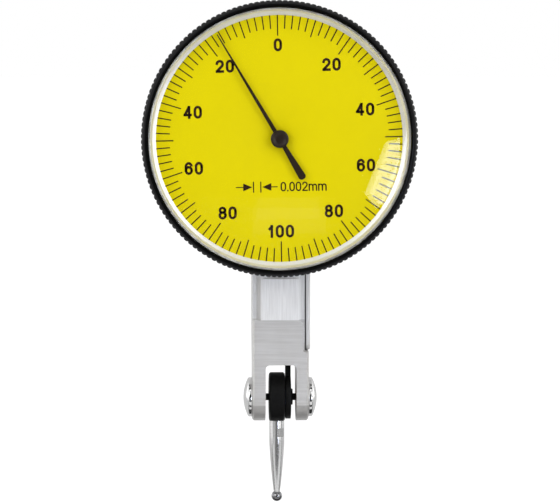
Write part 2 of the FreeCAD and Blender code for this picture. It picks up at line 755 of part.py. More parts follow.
def pivot_cap(face, outward):
    """A domed cap over the end of the pivot, on an ear's outer face."""
    radius = PIVOT_CAP_DIAMETER / 2
    top = face + outward * PIVOT_CAP_HEIGHT
    rise = PIVOT_CAP_HEIGHT - PIVOT_CAP_RIM
    sphere_radius = (radius * radius + rise * rise) / (2 * rise)
    sphere_centre = top - outward * sphere_radius
    low, high = sorted((face, top))
    blank = rod_x(PIVOT_CAP_DIAMETER, low, high, pivot_y, pivot_z)
    ball = Part.makeSphere(sphere_radius, point(sphere_centre, pivot_y, pivot_z))
    cap = blank.common(ball)
    pocket_end = top - outward * PIVOT_CAP_WALL
    low, high = sorted((face - outward, pocket_end))
    return cap.cut(rod_x(PIVOT_SHAFT_DIAMETER + 0.6, low, high, pivot_y, pivot_z))


def make_pivot_cap_left():
    return pivot_cap(case_left, -1)


def make_pivot_cap_right():
    return pivot_cap(case_right, 1)


def make_dial_case():
    flange = bezel_tip - DIAL_CASE_FLANGE_INSET
    outer = dial_case_outer
    inner = outer - DIAL_CASE_WALL
    groove = outer - SPRING_WIRE / 2 - SPRING_ROOM
    half = SPRING_WIRE / 2 + SPRING_GROOVE_PLAY
    flange_y = front_y - DIAL_CASE_FLANGE
    bore = CENTRE_BUSH_DIAMETER / 2
    outline = [
        (bore, front_y),
        (flange - DIAL_CASE_EDGE, front_y),
        (flange, front_y - DIAL_CASE_EDGE),
        (flange, flange_y),
        (outer, flange_y),
        (outer, spring_y + half),
        (groove, spring_y + half),
        (groove, spring_y - half),
        (outer, spring_y - half),
        (outer, dial_case_rim_y),
        (inner, dial_case_rim_y),
        (inner, dial_floor_y),
        (bore, dial_floor_y),
    ]
    cup = turned(outline, 0)
    head_room = SMALL_SCREW_HEAD + 2 * ASSEMBLY_FIT
    for x, z in dial_screw_places():
        cup = cup.cut(rod_y(SMALL_SCREW_SHANK, dial_floor_y - BEYOND, front_y + BEYOND, x, z))
        cup = cup.cut(rod_y(head_room, dial_floor_y - BEYOND, dial_floor_y + SMALL_SCREW_HEAD_HEIGHT, x, z))
    for z in (-CENTRE_BRIDGE_REACH, CENTRE_BRIDGE_REACH):
        cup = cup.cut(rod_y(SMALL_SCREW_SHANK, dial_floor_y - BEYOND, dial_floor_y + 0.7, 0, z))
    stud_x = -hairspring_reach()
    return cup.cut(rod_y(STUD_POST_DIAMETER, dial_floor_y - BEYOND, dial_floor_y + 0.5, stud_x, 0))


def make_dial_case_screws():
    face = dial_floor_y + SMALL_SCREW_HEAD_HEIGHT
    length = SMALL_SCREW_LENGTH - 0.4
    screws = []
    for x, z in dial_screw_places():
        screws.append(screw_y(face, x, z, SMALL_SCREW_HEAD, SMALL_SCREW_SHANK, length))
    return Part.makeCompound(screws)


def make_centre_bridge():
    half = CENTRE_BRIDGE_WIDTH / 2
    reach = CENTRE_BRIDGE_REACH + half
    outline = [(-half, -reach), (half, -reach), (half, reach), (-half, reach)]
    bar = plate_y(outline, half * 0.9, bridge_front_y, bridge_back_y)
    pillars = [
        rod_y(PILLAR_DIAMETER, bridge_back_y - 0.1, dial_floor_y, 0, z)
        for z in (-CENTRE_BRIDGE_REACH, CENTRE_BRIDGE_REACH)
    ]
    bridge = fused([bar] + pillars)
    bridge = bridge.cut(rod_y(FRONT_BUSH_DIAMETER, bridge_front_y - BEYOND, bridge_back_y + 0.5, 0, 0))
    for z in (-CENTRE_BRIDGE_REACH, CENTRE_BRIDGE_REACH):
        bridge = bridge.cut(rod_y(SMALL_SCREW_SHANK, bridge_front_y - BEYOND, dial_floor_y + BEYOND, 0, z))
    return bridge


def make_centre_bridge_screws():
    length = CENTRE_BRIDGE_THICK + CENTRE_BRIDGE_HEIGHT + 0.6
    screws = [
        screw_y(bridge_front_y, 0, z, SMALL_SCREW_HEAD, SMALL_SCREW_SHANK, length)
        for z in (-CENTRE_BRIDGE_REACH, CENTRE_BRIDGE_REACH)
    ]
    return Part.makeCompound(screws)


def make_centre_bush_rear():
    bore = ARBOR_DIAMETER + 2 * RUNNING_FIT
    return tube_y(CENTRE_BUSH_DIAMETER, bore, dial_floor_y, cavity_front, 0, 0)


def make_centre_bush_front():
    bore = ARBOR_DIAMETER + 2 * RUNNING_FIT
    return tube_y(FRONT_BUSH_DIAMETER, bore, bridge_front_y, bridge_back_y, 0, 0)


def hairspring_reach():
    """Distance of the stud's centre from the pointer's axis."""
    outer_turn = COLLET_DIAMETER / 2 + HAIRSPRING_TURNS * HAIRSPRING_PITCH + HAIRSPRING_STRIP
    return outer_turn + STUD_POST_DIAMETER / 2 + 0.05


def spiral_edges(start, y):
    """Half circles of growing radius, from the collet out to the stud."""
    edges = []
    for turn in range(HAIRSPRING_TURNS):
        upper = start + turn * HAIRSPRING_PITCH
        lower = upper + HAIRSPRING_PITCH / 2
        shift = -HAIRSPRING_PITCH / 2
        edges.append(Part.Arc(point(-upper, y, 0), point(0, y, upper), point(upper, y, 0)))
        edges.append(
            Part.Arc(point(upper, y, 0), point(shift, y, -lower), point(shift - lower, y, 0))
        )
    return [edge.toShape() for edge in edges]


def make_hairspring():
    y = dial_floor_y - HAIRSPRING_RISE - HAIRSPRING_HEIGHT
    start = COLLET_DIAMETER / 2 + 0.03
    inner = spiral_edges(start, y)
    outer = spiral_edges(start + HAIRSPRING_STRIP, y)
    end = start + HAIRSPRING_TURNS * HAIRSPRING_PITCH
    close_in = Part.LineSegment(point(-start, y, 0), point(-start - HAIRSPRING_STRIP, y, 0)).toShape()
    close_out = Part.LineSegment(point(-end, y, 0), point(-end - HAIRSPRING_STRIP, y, 0)).toShape()
    wire = Part.Wire(Part.__sortEdges__(inner + [close_out] + outer + [close_in]))
    return Part.Face(wire).extrude(point(0, HAIRSPRING_HEIGHT, 0))


def make_hairspring_stud():
    x = -hairspring_reach()
    top = dial_floor_y - HAIRSPRING_RISE - HAIRSPRING_HEIGHT - 0.2
    return rod_y(STUD_POST_DIAMETER - 2 * ASSEMBLY_FIT, top, dial_floor_y + 0.45, x, 0)


def make_hairspring_collet():
    bottom = dial_floor_y - HAIRSPRING_RISE + 0.15
    collet = tube_y(COLLET_DIAMETER, ARBOR_DIAMETER, bottom - COLLET_HEIGHT, bottom, 0, 0)
    return collet.cut(block(0, COLLET_DIAMETER, bottom - BEYOND, bottom + BEYOND, -0.1, 0.1))


def make_bezel_ring():
    rim = bezel_tip - BEZEL_TOOTH_DEPTH - BEZEL_RIM_STEP
    round_in = BEZEL_ROUND * (1 - math.sqrt(0.5))
    ledge = bezel_bore - BEZEL_LEDGE
    groove = dial_case_outer + SPRING_WIRE / 2 + RUNNING_FIT
    half = SPRING_WIRE / 2 + SPRING_GROOVE_PLAY
    outline = [
        (bezel_bore, bezel_back_y),
        (rim - BEZEL_BACK_CHAMFER, bezel_back_y),
        (rim, bezel_back_y - BEZEL_BACK_CHAMFER),
        (rim, bezel_front_y + BEZEL_ROUND),
        (rim - round_in, bezel_front_y + round_in),
        (rim - BEZEL_ROUND, bezel_front_y),
        (bezel_opening, bezel_front_y),
        (bezel_opening, dial_back_y),
        (ledge, dial_back_y),
        (ledge, ledge_back_y),
        (bezel_bore, ledge_back_y),
        (bezel_bore, spring_y - half),
        (groove, spring_y - half),
        (groove, spring_y + half),
        (bezel_bore, spring_y + half),
    ]
    ring = turned(outline, 0)
    pitch = 360 / BEZEL_TEETH
    half_tip = BEZEL_TIP_SHARE * pitch / 2
    places = [(bezel_tip - BEZEL_TOOTH_DEPTH, -pitch / 2), (bezel_tip, -half_tip), (bezel_tip, half_tip)]
    corners = []
    for i in range(BEZEL_TEETH):
        for radius, angle in places:
            turn = math.radians(i * pitch + angle)
            corners.append((radius * math.sin(turn), radius * math.cos(turn)))
    knurl_front = bezel_front_y + BEZEL_ROUND + BEZEL_RIM_STEP
    knurl_back = bezel_back_y - BEZEL_BACK_CHAMFER - BEZEL_RIM_STEP
    knurl = polygon_y(corners, knurl_front, knurl_back)
    knurl = knurl.cut(rod_y(2 * (rim - BEZEL_TOOTH_DEPTH), knurl_front - BEYOND, knurl_back + BEYOND, 0, 0))
    return ring.fuse(knurl)


def make_bezel_spring_ring():
    half = SPRING_WIRE / 2
    inner = dial_case_outer - half
    outer = dial_case_outer + half
    corners = [(inner, -half), (outer, -half), (outer, half), (inner, half)]
    wire = flat_outline(corners, 0, lambda p: point(p.x, spring_y + p.y, 0))
    return Part.Face(wire).revolve(point(0, 0, 0), ALONG_Y, 360 - SPRING_OPEN)


def make_light_ring():
    outline = [
        (dial_edge, dial_front_y),
        (bezel_seat, dial_front_y),
        (bezel_seat, light_ring_y),
        (bezel_seat - LIGHT_RING_TOP, light_ring_y),
    ]
    return turned(outline, 0)


def make_dial_plate():
    hole = DIAL_HOLE_DIAMETER / 2
    outline = [(hole, dial_front_y), (bezel_seat, dial_front_y)]
    outline += [(bezel_seat, dial_back_y), (hole, dial_back_y)]
    return turned(outline, 0)


def make_crystal():
    outer = bezel_seat
    inner = outer - CRYSTAL_WALL
    back = light_ring_y
    edge = back - CRYSTAL_EDGE
    shoulder = outer - CRYSTAL_CHAMFER
    top = edge - CRYSTAL_CHAMFER
    front_apex = top - CRYSTAL_DOME
    back_apex = front_apex + CRYSTAL_THICK
    dome = (shoulder * shoulder + CRYSTAL_DOME * CRYSTAL_DOME) / (2 * CRYSTAL_DOME)
    hollow = back - back_apex
    bowl = (inner * inner + hollow * hollow) / (2 * hollow)
    outline = [(0, back), (outer, back), (outer, edge), (shoulder, top)]
    outline += [(shoulder, front_apex), (0, front_apex)]
    blank = turned(outline, 0)
    front_ball = Part.makeSphere(dome, point(0, front_apex + dome, 0))
    back_ball = Part.makeSphere(bowl, point(0, back_apex + bowl, 0))
    return blank.common(front_ball).cut(back_ball)


def turned_pointer(shape):
    """Turn a piece drawn straight up to where the pointer stands."""
    shape.rotate(point(0, 0, 0), ALONG_Y, POINTER_TURN)
    return shape


def make_pointer_blade():
    wide = POINTER_WIDTH / 2
    tip = POINTER_TIP_WIDTH / 2
    needle = [(-wide, 0), (wide, 0), (tip, pointer_reach), (-tip, pointer_reach)]
    root = TAIL_WIDTH / 2
    end = TAIL_END_WIDTH / 2
    tail = [(-root, 0), (root, 0), (end, -POINTER_TAIL), (-end, -POINTER_TAIL)]
    blade = [
        plate_y(needle, [0, 0, tip * 0.9, tip * 0.9], pointer_hub_y, pointer_y),
        plate_y(tail, [0, 0, end * 0.8, end * 0.8], pointer_hub_y, pointer_y),
        rod_y(POINTER_HUB_DIAMETER - 0.4, pointer_hub_y, pointer_y, 0, 0),
    ]
    whole = fused(blade).cut(rod_y(POINTER_TUBE_DIAMETER, pointer_hub_y - BEYOND, pointer_y + BEYOND, 0, 0))
    return turned_pointer(whole)


def make_pointer_hub():
    cap = rod_y(POINTER_HUB_DIAMETER, pointer_top_y, pointer_hub_y, 0, 0)
    edge = [e for e in cap.Edges if e.BoundBox.YMax < pointer_top_y + 0.01]
    cap = cap.makeChamfer(0.18, edge)
    tube = rod_y(POINTER_TUBE_DIAMETER - 2 * ASSEMBLY_FIT, pointer_hub_y - 0.1, bridge_front_y - 0.4, 0, 0)
    return fused([cap, tube]).cut(rod_y(ARBOR_DIAMETER, pointer_hub_y, bridge_front_y, 0, 0))


def make_centre_arbor():
    inner_end = mesh_y + CENTRE_PINION_LENGTH / 2 + 0.15
    arbor = rod_y(ARBOR_DIAMETER, pointer_hub_y, inner_end, 0, 0)
    ends = [e for e in arbor.Edges if e.BoundBox.YLength < 0.01]
    return arbor.makeChamfer(0.1, ends)


def make_centre_pinion():
    corners = gear_corners(CROWN_MODULE, CENTRE_PINION_TEETH, 90)
    half = CENTRE_PINION_LENGTH / 2
    pinion = polygon_y(corners, mesh_y - half, mesh_y + half)
    return pinion.cut(rod_y(ARBOR_DIAMETER, mesh_y - 2, mesh_y + 2, 0, 0))


def crown_tooth(angle):
    """One tooth of the crown wheel, pointing to the right, with its sides along the radius."""
    slope = math.tan(math.radians(FLANK_SLOPE))
    sections = []
    top = crown_plane + TOOTH_TOP * CROWN_MODULE
    bottom = crown_plane - TOOTH_BOTTOM * CROWN_MODULE - 0.05
    for radius in (crown_outer - CROWN_FACE, crown_outer):
        half_width = TOOTH_SHARE * math.pi * radius / CROWN_TEETH
        top_half = half_width - TOOTH_TOP * CROWN_MODULE * slope
        bottom_half = half_width + TOOTH_BOTTOM * CROWN_MODULE * slope
        corners = [
            point(bottom, -radius, -bottom_half),
            point(top, -radius, -top_half),
            point(top, -radius, top_half),
            point(bottom, -radius, bottom_half),
        ]
        sections.append(Part.makePolygon(corners + corners[:1]))
    tooth = Part.makeLoft(sections, True, True)
    tooth.rotate(point(0, 0, 0), ALONG_X, angle)
    tooth.translate(point(0, arbor_y, 0))
    return tooth


def make_crown_wheel():
    right = crown_plane - TOOTH_BOTTOM * CROWN_MODULE
    left = right - CROWN_THICK
    disc = rod_x(2 * crown_outer, left, right, arbor_y, 0)
    hub = rod_x(CROWN_HUB_DIAMETER, left - 0.15, right + 0.3, arbor_y, 0)
    pitch = 360 / CROWN_TEETH
    teeth = [crown_tooth((i + 0.5) * pitch) for i in range(CROWN_TEETH)]
    wheel = fused([disc, hub] + teeth)
    for i in range(CROWN_HOLES):
        turn = math.radians(360 * (i + 0.5) / CROWN_HOLES)
        y = arbor_y + CROWN_HOLE_CIRCLE / 2 * math.sin(turn)
        z = CROWN_HOLE_CIRCLE / 2 * math.cos(turn)
        wheel = wheel.cut(rod_x(CROWN_HOLE_DIAMETER, left - BEYOND, right + BEYOND, y, z))
    return wheel.cut(rod_x(ARBOR_DIAMETER, left - BEYOND, right + BEYOND, arbor_y, 0))


def make_crown_arbor():
    return rod_x(ARBOR_DIAMETER, cavity_left - BUSH_SUNK + 0.1, bridge_right - 0.05, arbor_y, 0)


def make_crown_pinion():
    pitch = 360 / ARBOR_PINION_TEETH
    flat = gear_corners(SECTOR_MODULE, ARBOR_PINION_TEETH, 180 + pitch / 2)
    corners = [(arbor_y + u, v) for u, v in flat]
    pinion = polygon_x(corners, sector_left - 0.1, sector_right + 0.1)
    return pinion.cut(rod_x(ARBOR_DIAMETER, sector_left - BEYOND, sector_right + BEYOND, arbor_y, 0))


def around_sector(radius, angle):
    """A (y, z) point about the sector's arbor, the angle from straight up towards the back."""
    turn = math.radians(angle)
    return (arbor_y + radius * math.sin(turn), sector_z + radius * math.cos(turn))


def make_sector_lever():
    first, last, count = sector_span()
    pitch = 360 / SECTOR_TEETH
    teeth = tooth_corners(SECTOR_MODULE, SECTOR_TEETH, -pitch, count)
    root = sector_radius - TOOTH_BOTTOM * SECTOR_MODULE
    rim = root - SECTOR_RIM
    arc = [around_sector(radius, angle) for radius, angle in teeth]
    hub = SECTOR_HUB_DIAMETER / 2
    middle = (first + last) / 2
    inside = [around_sector(rim, last), around_sector(rim - 0.8, middle), around_sector(rim, first)]
    toothed = [around_sector(root, first)] + arc + [around_sector(root, last)]
    rim_plate = polygon_x(toothed + inside, sector_left, sector_right)
    arm_corners = [
        around_sector(hub * 0.9, middle - 60),
        around_sector(rim + 0.3, middle - 4.6),
        around_sector(rim + 0.3, middle + 4.6),
        around_sector(hub * 0.9, middle + 60),
    ]
    arm = polygon_x(arm_corners, sector_left, sector_right)
    opening_foot = hub + SECTOR_WEB
    opening_top = rim - SECTOR_RIM
    opening = [
        around_sector(opening_foot, middle - SECTOR_OPENING_FOOT / 2),
        around_sector(opening_top, middle - SECTOR_OPENING_TOP / 2),
        around_sector(opening_top, middle + SECTOR_OPENING_TOP / 2),
        around_sector(opening_foot, middle + SECTOR_OPENING_FOOT / 2),
    ]
    arm = arm.cut(plate_x(opening, 0.15, sector_left - BEYOND, sector_right + BEYOND))
    disc = rod_x(SECTOR_HUB_DIAMETER, sector_left, sector_right + 0.15, arbor_y, sector_z)
    tail_half = SECTOR_TAIL_WIDTH / 2
    slot_half = DRIVE_PIN_DIAMETER / 2 + DRIVE_PIN_PLAY
    end = sector_tail + 0.95
    tail = block(sector_left, sector_right, -tail_half, tail_half, -end, 0)
    low, high = sector_left - BEYOND, sector_right + BEYOND
    slot = block(low, high, -slot_half, slot_half, -end - BEYOND, -sector_tail + DRIVE_PIN_DIAMETER)
    tail = tail.cut(slot)
    tail.rotate(point(0, 0, 0), ALONG_X, -lever_lean)
    tail.translate(point(0, arbor_y, sector_z))
    whole = fused([rim_plate, arm, disc, tail])
    slot.rotate(point(0, 0, 0), ALONG_X, -lever_lean)
    slot.translate(point(0, arbor_y, sector_z))
    whole = whole.cut(slot)
    return whole.cut(rod_x(SECTOR_ARBOR_DIAMETER, low, high, arbor_y, sector_z))


def make_sector_arbor():
    left = cavity_left - BUSH_SUNK + 0.1
    return rod_x(SECTOR_ARBOR_DIAMETER, left, bridge_right - 0.05, arbor_y, sector_z)


def on_lever(shape):
    """Lean a piece drawn straight up from the pivot to where the lever stands."""
    shape.rotate(point(0, 0, 0), ALONG_X, -lever_lean)
    shape.translate(point(0, pivot_y, pivot_z))
    return shape


def make_lever_arm():
    foot = LEVER_FOOT_WIDTH / 2
    end = LEVER_END_WIDTH / 2
    sides = [(-foot, 0), (foot, 0), (end, lever_reach), (-end, lever_reach)]
    arm = polygon_x(sides, lever_left, lever_right)
    pieces = [
        rod_x(LEVER_DISC_DIAMETER, lever_left, lever_right, 0, 0),
        arm,
        rod_x(LEVER_END_WIDTH, lever_left, lever_right, 0, lever_reach),
        rod_x(LEVER_BOSS_DIAMETER, lever_left, lever_right + LEVER_BOSS_HEIGHT, 0, 0),
    ]
    lever = fused(pieces)
    lever = lever.cut(rod_x(PIVOT_SHAFT_DIAMETER, lever_left - BEYOND, lever_right + BEYOND, 0, 0))
    lever = lever.cut(rod_x(DRIVE_PIN_DIAMETER, lever_left - BEYOND, lever_right + BEYOND, 0, lever_reach))
    return on_lever(lever)


def make_drive_pin():
    return on_lever(rod_x(DRIVE_PIN_DIAMETER, lever_left, sector_right - 0.05, 0, lever_reach))


def make_pivot_shaft():
    left = case_left - SHAFT_STAND_OUT
    right = case_right + SHAFT_STAND_OUT
    shaft = rod_x(PIVOT_SHAFT_DIAMETER, left, right, pivot_y, pivot_z)
    ends = [e for e in shaft.Edges if e.BoundBox.XLength < 0.01]
    return shaft.makeChamfer(0.12, ends)


def make_hub_clip():
    left = hub_left + CLIP_SUNK
    clip = tube_x(CLIP_DIAMETER, PIVOT_SHAFT_DIAMETER, left, left + CLIP_THICK, pivot_y, pivot_z)
    gap = PIVOT_SHAFT_DIAMETER * 0.35
    top = pivot_z + CLIP_DIAMETER
    return clip.cut(block(left - BEYOND, left + BEYOND, pivot_y - gap, pivot_y + gap, pivot_z, top))


def make_clutch_washer():
    bore = PIVOT_SHAFT_DIAMETER + 0.1
    return tube_x(WASHER_DIAMETER, bore, lever_left - WASHER_THICK, lever_left, pivot_y, pivot_z)


def make_stylus_hub():
    hub = rod_x(HUB_DIAMETER, hub_left, hub_right, pivot_y, pivot_z)
    hub = hub.makeChamfer(HUB_EDGE, [e for e in hub.Edges if e.BoundBox.XLength < 0.01])
    bore = PIVOT_SHAFT_DIAMETER + 2 * RUNNING_FIT
    hub = hub.cut(rod_x(bore, hub_left - BEYOND, hub_right + BEYOND, pivot_y, pivot_z))
    clip_room = CLIP_SUNK + CLIP_THICK + 0.05
    clip_bore = CLIP_DIAMETER + 2 * RECESS_PLAY
    hub = hub.cut(rod_x(clip_bore, hub_left - BEYOND, hub_left + clip_room, pivot_y, pivot_z))
    washer_room = WASHER_THICK - HUB_GAP + 0.02
    washer_bore = WASHER_DIAMETER + 2 * RECESS_PLAY
    hub = hub.cut(rod_x(washer_bore, hub_right - washer_room, hub_right + BEYOND, pivot_y, pivot_z))
    bottom = pivot_z - HUB_DIAMETER / 2
    below = bottom - HUB_SEAT
    stud_hole = STUD_LENGTH + HUB_SEAT
    stud = Part.makeCylinder(STUD_DIAMETER / 2, stud_hole, point(HUB_SIDE, pivot_y, below), ALONG_Z)
    half = HUB_DIAMETER / 2
    front, back = pivot_y - half, pivot_y + half
    seat = block(hub_left - BEYOND, hub_right + BEYOND, front, back, below, bottom + HUB_SEAT)
    return hub.cut(stud).cut(seat)


def make_stylus_shank():
    """The tapered shank with its threaded stud and two spanner flats."""
    seat = pivot_z - HUB_DIAMETER / 2 + HUB_SEAT
    straight = pivot_z - HUB_DIAMETER / 2 - STYLUS_STRAIGHT
    ball_z = pivot_z - stylus_reach
    neck = STYLUS_NECK_DIAMETER / 2
    ball = BALL_DIAMETER / 2
    neck_z = ball_z + math.sqrt(ball * ball - neck * neck)
    root = STYLUS_ROOT_DIAMETER / 2
    stud = STUD_DIAMETER / 2 - ASSEMBLY_FIT
    top = seat + STUD_LENGTH - 0.4
    middle_z = (straight + neck_z) / 2
    middle_r = (root + neck) / 2 + 0.07
    edges = [
        Part.LineSegment(point(0, 0, top), point(stud, 0, top)),
        Part.LineSegment(point(stud, 0, top), point(stud, 0, seat)),
        Part.LineSegment(point(stud, 0, seat), point(root, 0, seat)),
        Part.LineSegment(point(root, 0, seat), point(root, 0, straight)),
        Part.Arc(point(root, 0, straight), point(middle_r, 0, middle_z), point(neck, 0, neck_z)),
        Part.LineSegment(point(neck, 0, neck_z), point(0, 0, neck_z)),
        Part.LineSegment(point(0, 0, neck_z), point(0, 0, top)),
    ]
    wire = Part.Wire([edge.toShape() for edge in edges])
    shank = Part.Face(wire).revolve(point(0, 0, 0), ALONG_Z, 360)
    flat_top = pivot_z - HUB_DIAMETER / 2 - FLAT_START
    for side in (1, -1):
        across = root - FLAT_DEPTH
        low, high = sorted((side * across, side * (root + BEYOND)))
        cutter = block(-root, root, low, high, flat_top - FLAT_HEIGHT, flat_top)
        cutter.rotate(point(0, 0, 0), ALONG_Z, FLAT_TURN)
        shank = shank.cut(cutter)
    shank.translate(point(HUB_SIDE, pivot_y, 0))
    return shank.cut(make_contact_ball())


def make_contact_ball():
    return Part.makeSphere(BALL_DIAMETER / 2, point(HUB_SIDE, pivot_y, pivot_z - stylus_reach))


PIECES = {
    "case_body": make_case_body,
    "side_cover": make_side_cover,
    "side_cover_screws": make_side_cover_screws,
    "dial_case": make_dial_case,
    "dial_case_screws": make_dial_case_screws,
    "centre_bridge": make_centre_bridge,
    "centre_bridge_screws": make_centre_bridge_screws,
    "centre_bush_rear": make_centre_bush_rear,
    "centre_bush_front": make_centre_bush_front,
    "hairspring": make_hairspring,
    "hairspring_stud": make_hairspring_stud,
    "movement_bridge": make_movement_bridge,
    "movement_bridge_screws": make_movement_bridge_screws,
    "travel_stop_pins": make_travel_stop_pins,
    "crown_bushes": make_crown_bushes,
    "sector_bushes": make_sector_bushes,
    "pivot_bush_left": make_pivot_bush_left,
    "pivot_bush_right": make_pivot_bush_right,
    "pivot_cap_left": make_pivot_cap_left,
    "pivot_cap_right": make_pivot_cap_right,
    "bezel_ring": make_bezel_ring,
    "bezel_spring_ring": make_bezel_spring_ring,
    "crystal": make_crystal,
    "light_ring": make_light_ring,
    "dial_plate": make_dial_plate,
    "pointer_blade": make_pointer_blade,
    "pointer_hub": make_pointer_hub,
    "centre_arbor": make_centre_arbor,
    "centre_pinion": make_centre_pinion,
    "hairspring_collet": make_hairspring_collet,
    "crown_wheel": make_crown_wheel,
    "crown_arbor": make_crown_arbor,
    "crown_pinion": make_crown_pinion,
    "sector_lever": make_sector_lever,
    "sector_arbor": make_sector_arbor,
    "lever_arm": make_lever_arm,
    "drive_pin": make_drive_pin,
    "pivot_shaft": make_pivot_shaft,
    "hub_clip": make_hub_clip,
    "clutch_washer": make_clutch_washer,
    "stylus_hub": make_stylus_hub,
    "stylus_shank": make_stylus_shank,
    "contact_ball": make_contact_ball,
}


def main():
    os.makedirs("parts", exist_ok=True)
    for name, make in PIECES.items():
        make().exportStep("parts/" + name + ".step")
    print("stylus reach", round(stylus_reach, 3), "lever reach", round(lever_reach, 3))
    print("sector arbor z", round(sector_z, 3), "sector travel", round(sector_travel, 3))


main()
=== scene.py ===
import json
import math

import bmesh
import bpy
from bpy.props import FloatProperty, FloatVectorProperty, IntProperty, PointerProperty
from mathutils import Matrix, Vector


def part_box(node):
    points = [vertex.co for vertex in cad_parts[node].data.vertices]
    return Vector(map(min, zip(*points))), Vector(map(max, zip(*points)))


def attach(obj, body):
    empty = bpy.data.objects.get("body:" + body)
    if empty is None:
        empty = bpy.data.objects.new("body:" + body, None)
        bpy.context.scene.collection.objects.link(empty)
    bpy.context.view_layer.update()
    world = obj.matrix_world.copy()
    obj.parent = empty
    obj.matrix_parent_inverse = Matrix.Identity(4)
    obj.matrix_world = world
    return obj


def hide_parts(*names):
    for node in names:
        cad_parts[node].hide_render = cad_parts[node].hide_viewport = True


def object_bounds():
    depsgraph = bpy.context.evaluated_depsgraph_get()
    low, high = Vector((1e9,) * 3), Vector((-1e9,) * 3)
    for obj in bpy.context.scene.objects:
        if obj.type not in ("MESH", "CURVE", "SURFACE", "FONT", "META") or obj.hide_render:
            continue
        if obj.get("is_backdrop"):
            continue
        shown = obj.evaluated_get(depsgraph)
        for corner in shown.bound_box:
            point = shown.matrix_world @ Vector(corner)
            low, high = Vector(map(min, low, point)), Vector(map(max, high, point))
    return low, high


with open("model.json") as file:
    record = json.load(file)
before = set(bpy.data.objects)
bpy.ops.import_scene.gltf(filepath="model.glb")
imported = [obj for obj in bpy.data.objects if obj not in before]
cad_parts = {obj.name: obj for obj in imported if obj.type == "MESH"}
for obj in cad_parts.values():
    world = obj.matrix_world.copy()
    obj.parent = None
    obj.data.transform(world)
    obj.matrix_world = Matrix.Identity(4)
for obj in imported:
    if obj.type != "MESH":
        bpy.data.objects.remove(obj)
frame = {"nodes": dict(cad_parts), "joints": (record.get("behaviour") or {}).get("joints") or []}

bl_info = {
    "name": "Dial test indicator",
    "version": (1, 0, 0),
    "blender": (4, 5, 0),
    "location": "3D View > Sidebar > Indicator",
    "description": "Builds the finish and the fine forms of a lever type dial test indicator",
    "category": "Object",
}

MM = 0.001
TURN = 2 * math.pi

# Places on the case and the bezel where the grinding changes, and where painted shade and painted sheen lie
DOVETAIL_FOOT = -26.8 * MM
EAR_FOOT = -39.4 * MM
LOWER_FACE_DEPTH = 1.6 * MM
GAP_SHADOW_HALF = 0.085 * MM
RIB_MIDDLE = 0.36 * MM
RIB_HALF = 2.93 * MM
SHEEN_EDGE = 19.45 * MM

# The photograph's camera, in metres, looking from a little left and above
CAMERA_PLACE = Vector((-0.0157, -0.466, 0.018))
CAMERA_AIM = Vector((0.000094, -0.016, -0.01645))
CAMERA_LENS = 200.12

# The room round the part, in metres, with the brightness of what the polished parts reflect
FLOOR_DROP = 0.06
FLOOR_HALF = 6.0
LAMP_FOCUS = Vector((0.0, -0.012, -0.02))
LAMP_DISTANCE = 1.0
WORLD_LEVEL = 0.5
TENT_LEVEL = 0.65
TENT_RADIUS = 1.5
TENT_HEIGHT = 1.6
DARK_LEVEL = 0.02

# Strips of the table: from y, to y and brightness
TABLE_STRIPS = [(-0.18, -0.088, 0.9), (-0.088, -0.058, 0.03), (-0.058, -0.0335, 0.9), (-0.0335, 0.02, 0.03)]

# The walls of one side, from front to back: (x, y) corners, names and tops
SIDE_PLAN = [(0.25, -0.55), (0.46, -0.22), (0.5, 0.02), (0.5, 0.6)]
SIDE_WALLS = [("front_side", 0.04), ("flank", 0.1), ("back_side", 0.22)]
SIDE_LEVELS = {-1.0: (0.35, 1.3, 1.4), 1.0: (1.7, 0.3, 1.4)}

# The windows that lie on the crystal: name, y, brightness, colour and (x, z) corners
WINDOWS = [
    (
        "window_right", -0.45, 11.0, (0.74, 0.81, 1.0),
        [(0.147, -0.023), (0.1236, -0.083), (0.14, -0.101), (0.23, -0.113), (0.23, -0.006)],
    ),
    (
        "window_edge", -0.452, 5.5, (0.86, 0.9, 1.0),
        [(0.1425, -0.022), (0.118, -0.083), (0.135, -0.106), (0.23, -0.122), (0.23, 0.0)],
    ),
]

CASE_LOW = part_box("case_body")[0]
COVER_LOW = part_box("side_cover")[0]
BEZEL_LOW, BEZEL_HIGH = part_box("bezel_ring")
DIAL_LOW, DIAL_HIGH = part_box("dial_plate")
RING_LOW, RING_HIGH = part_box("light_ring")
CRYSTAL_LOW, CRYSTAL_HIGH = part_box("crystal")
DISH_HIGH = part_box("dial_case")[1]
SHANK_LOW, SHANK_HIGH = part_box("stylus_shank")
BALL_LOW, BALL_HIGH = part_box("contact_ball")
POINTER_HUB_LOW, POINTER_HUB_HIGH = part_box("pointer_hub")
BLADE_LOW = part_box("pointer_blade")[0]
PIVOT = Vector(next(j["pos_m"] for j in frame["joints"] if j["name"] == "stylus_set"))


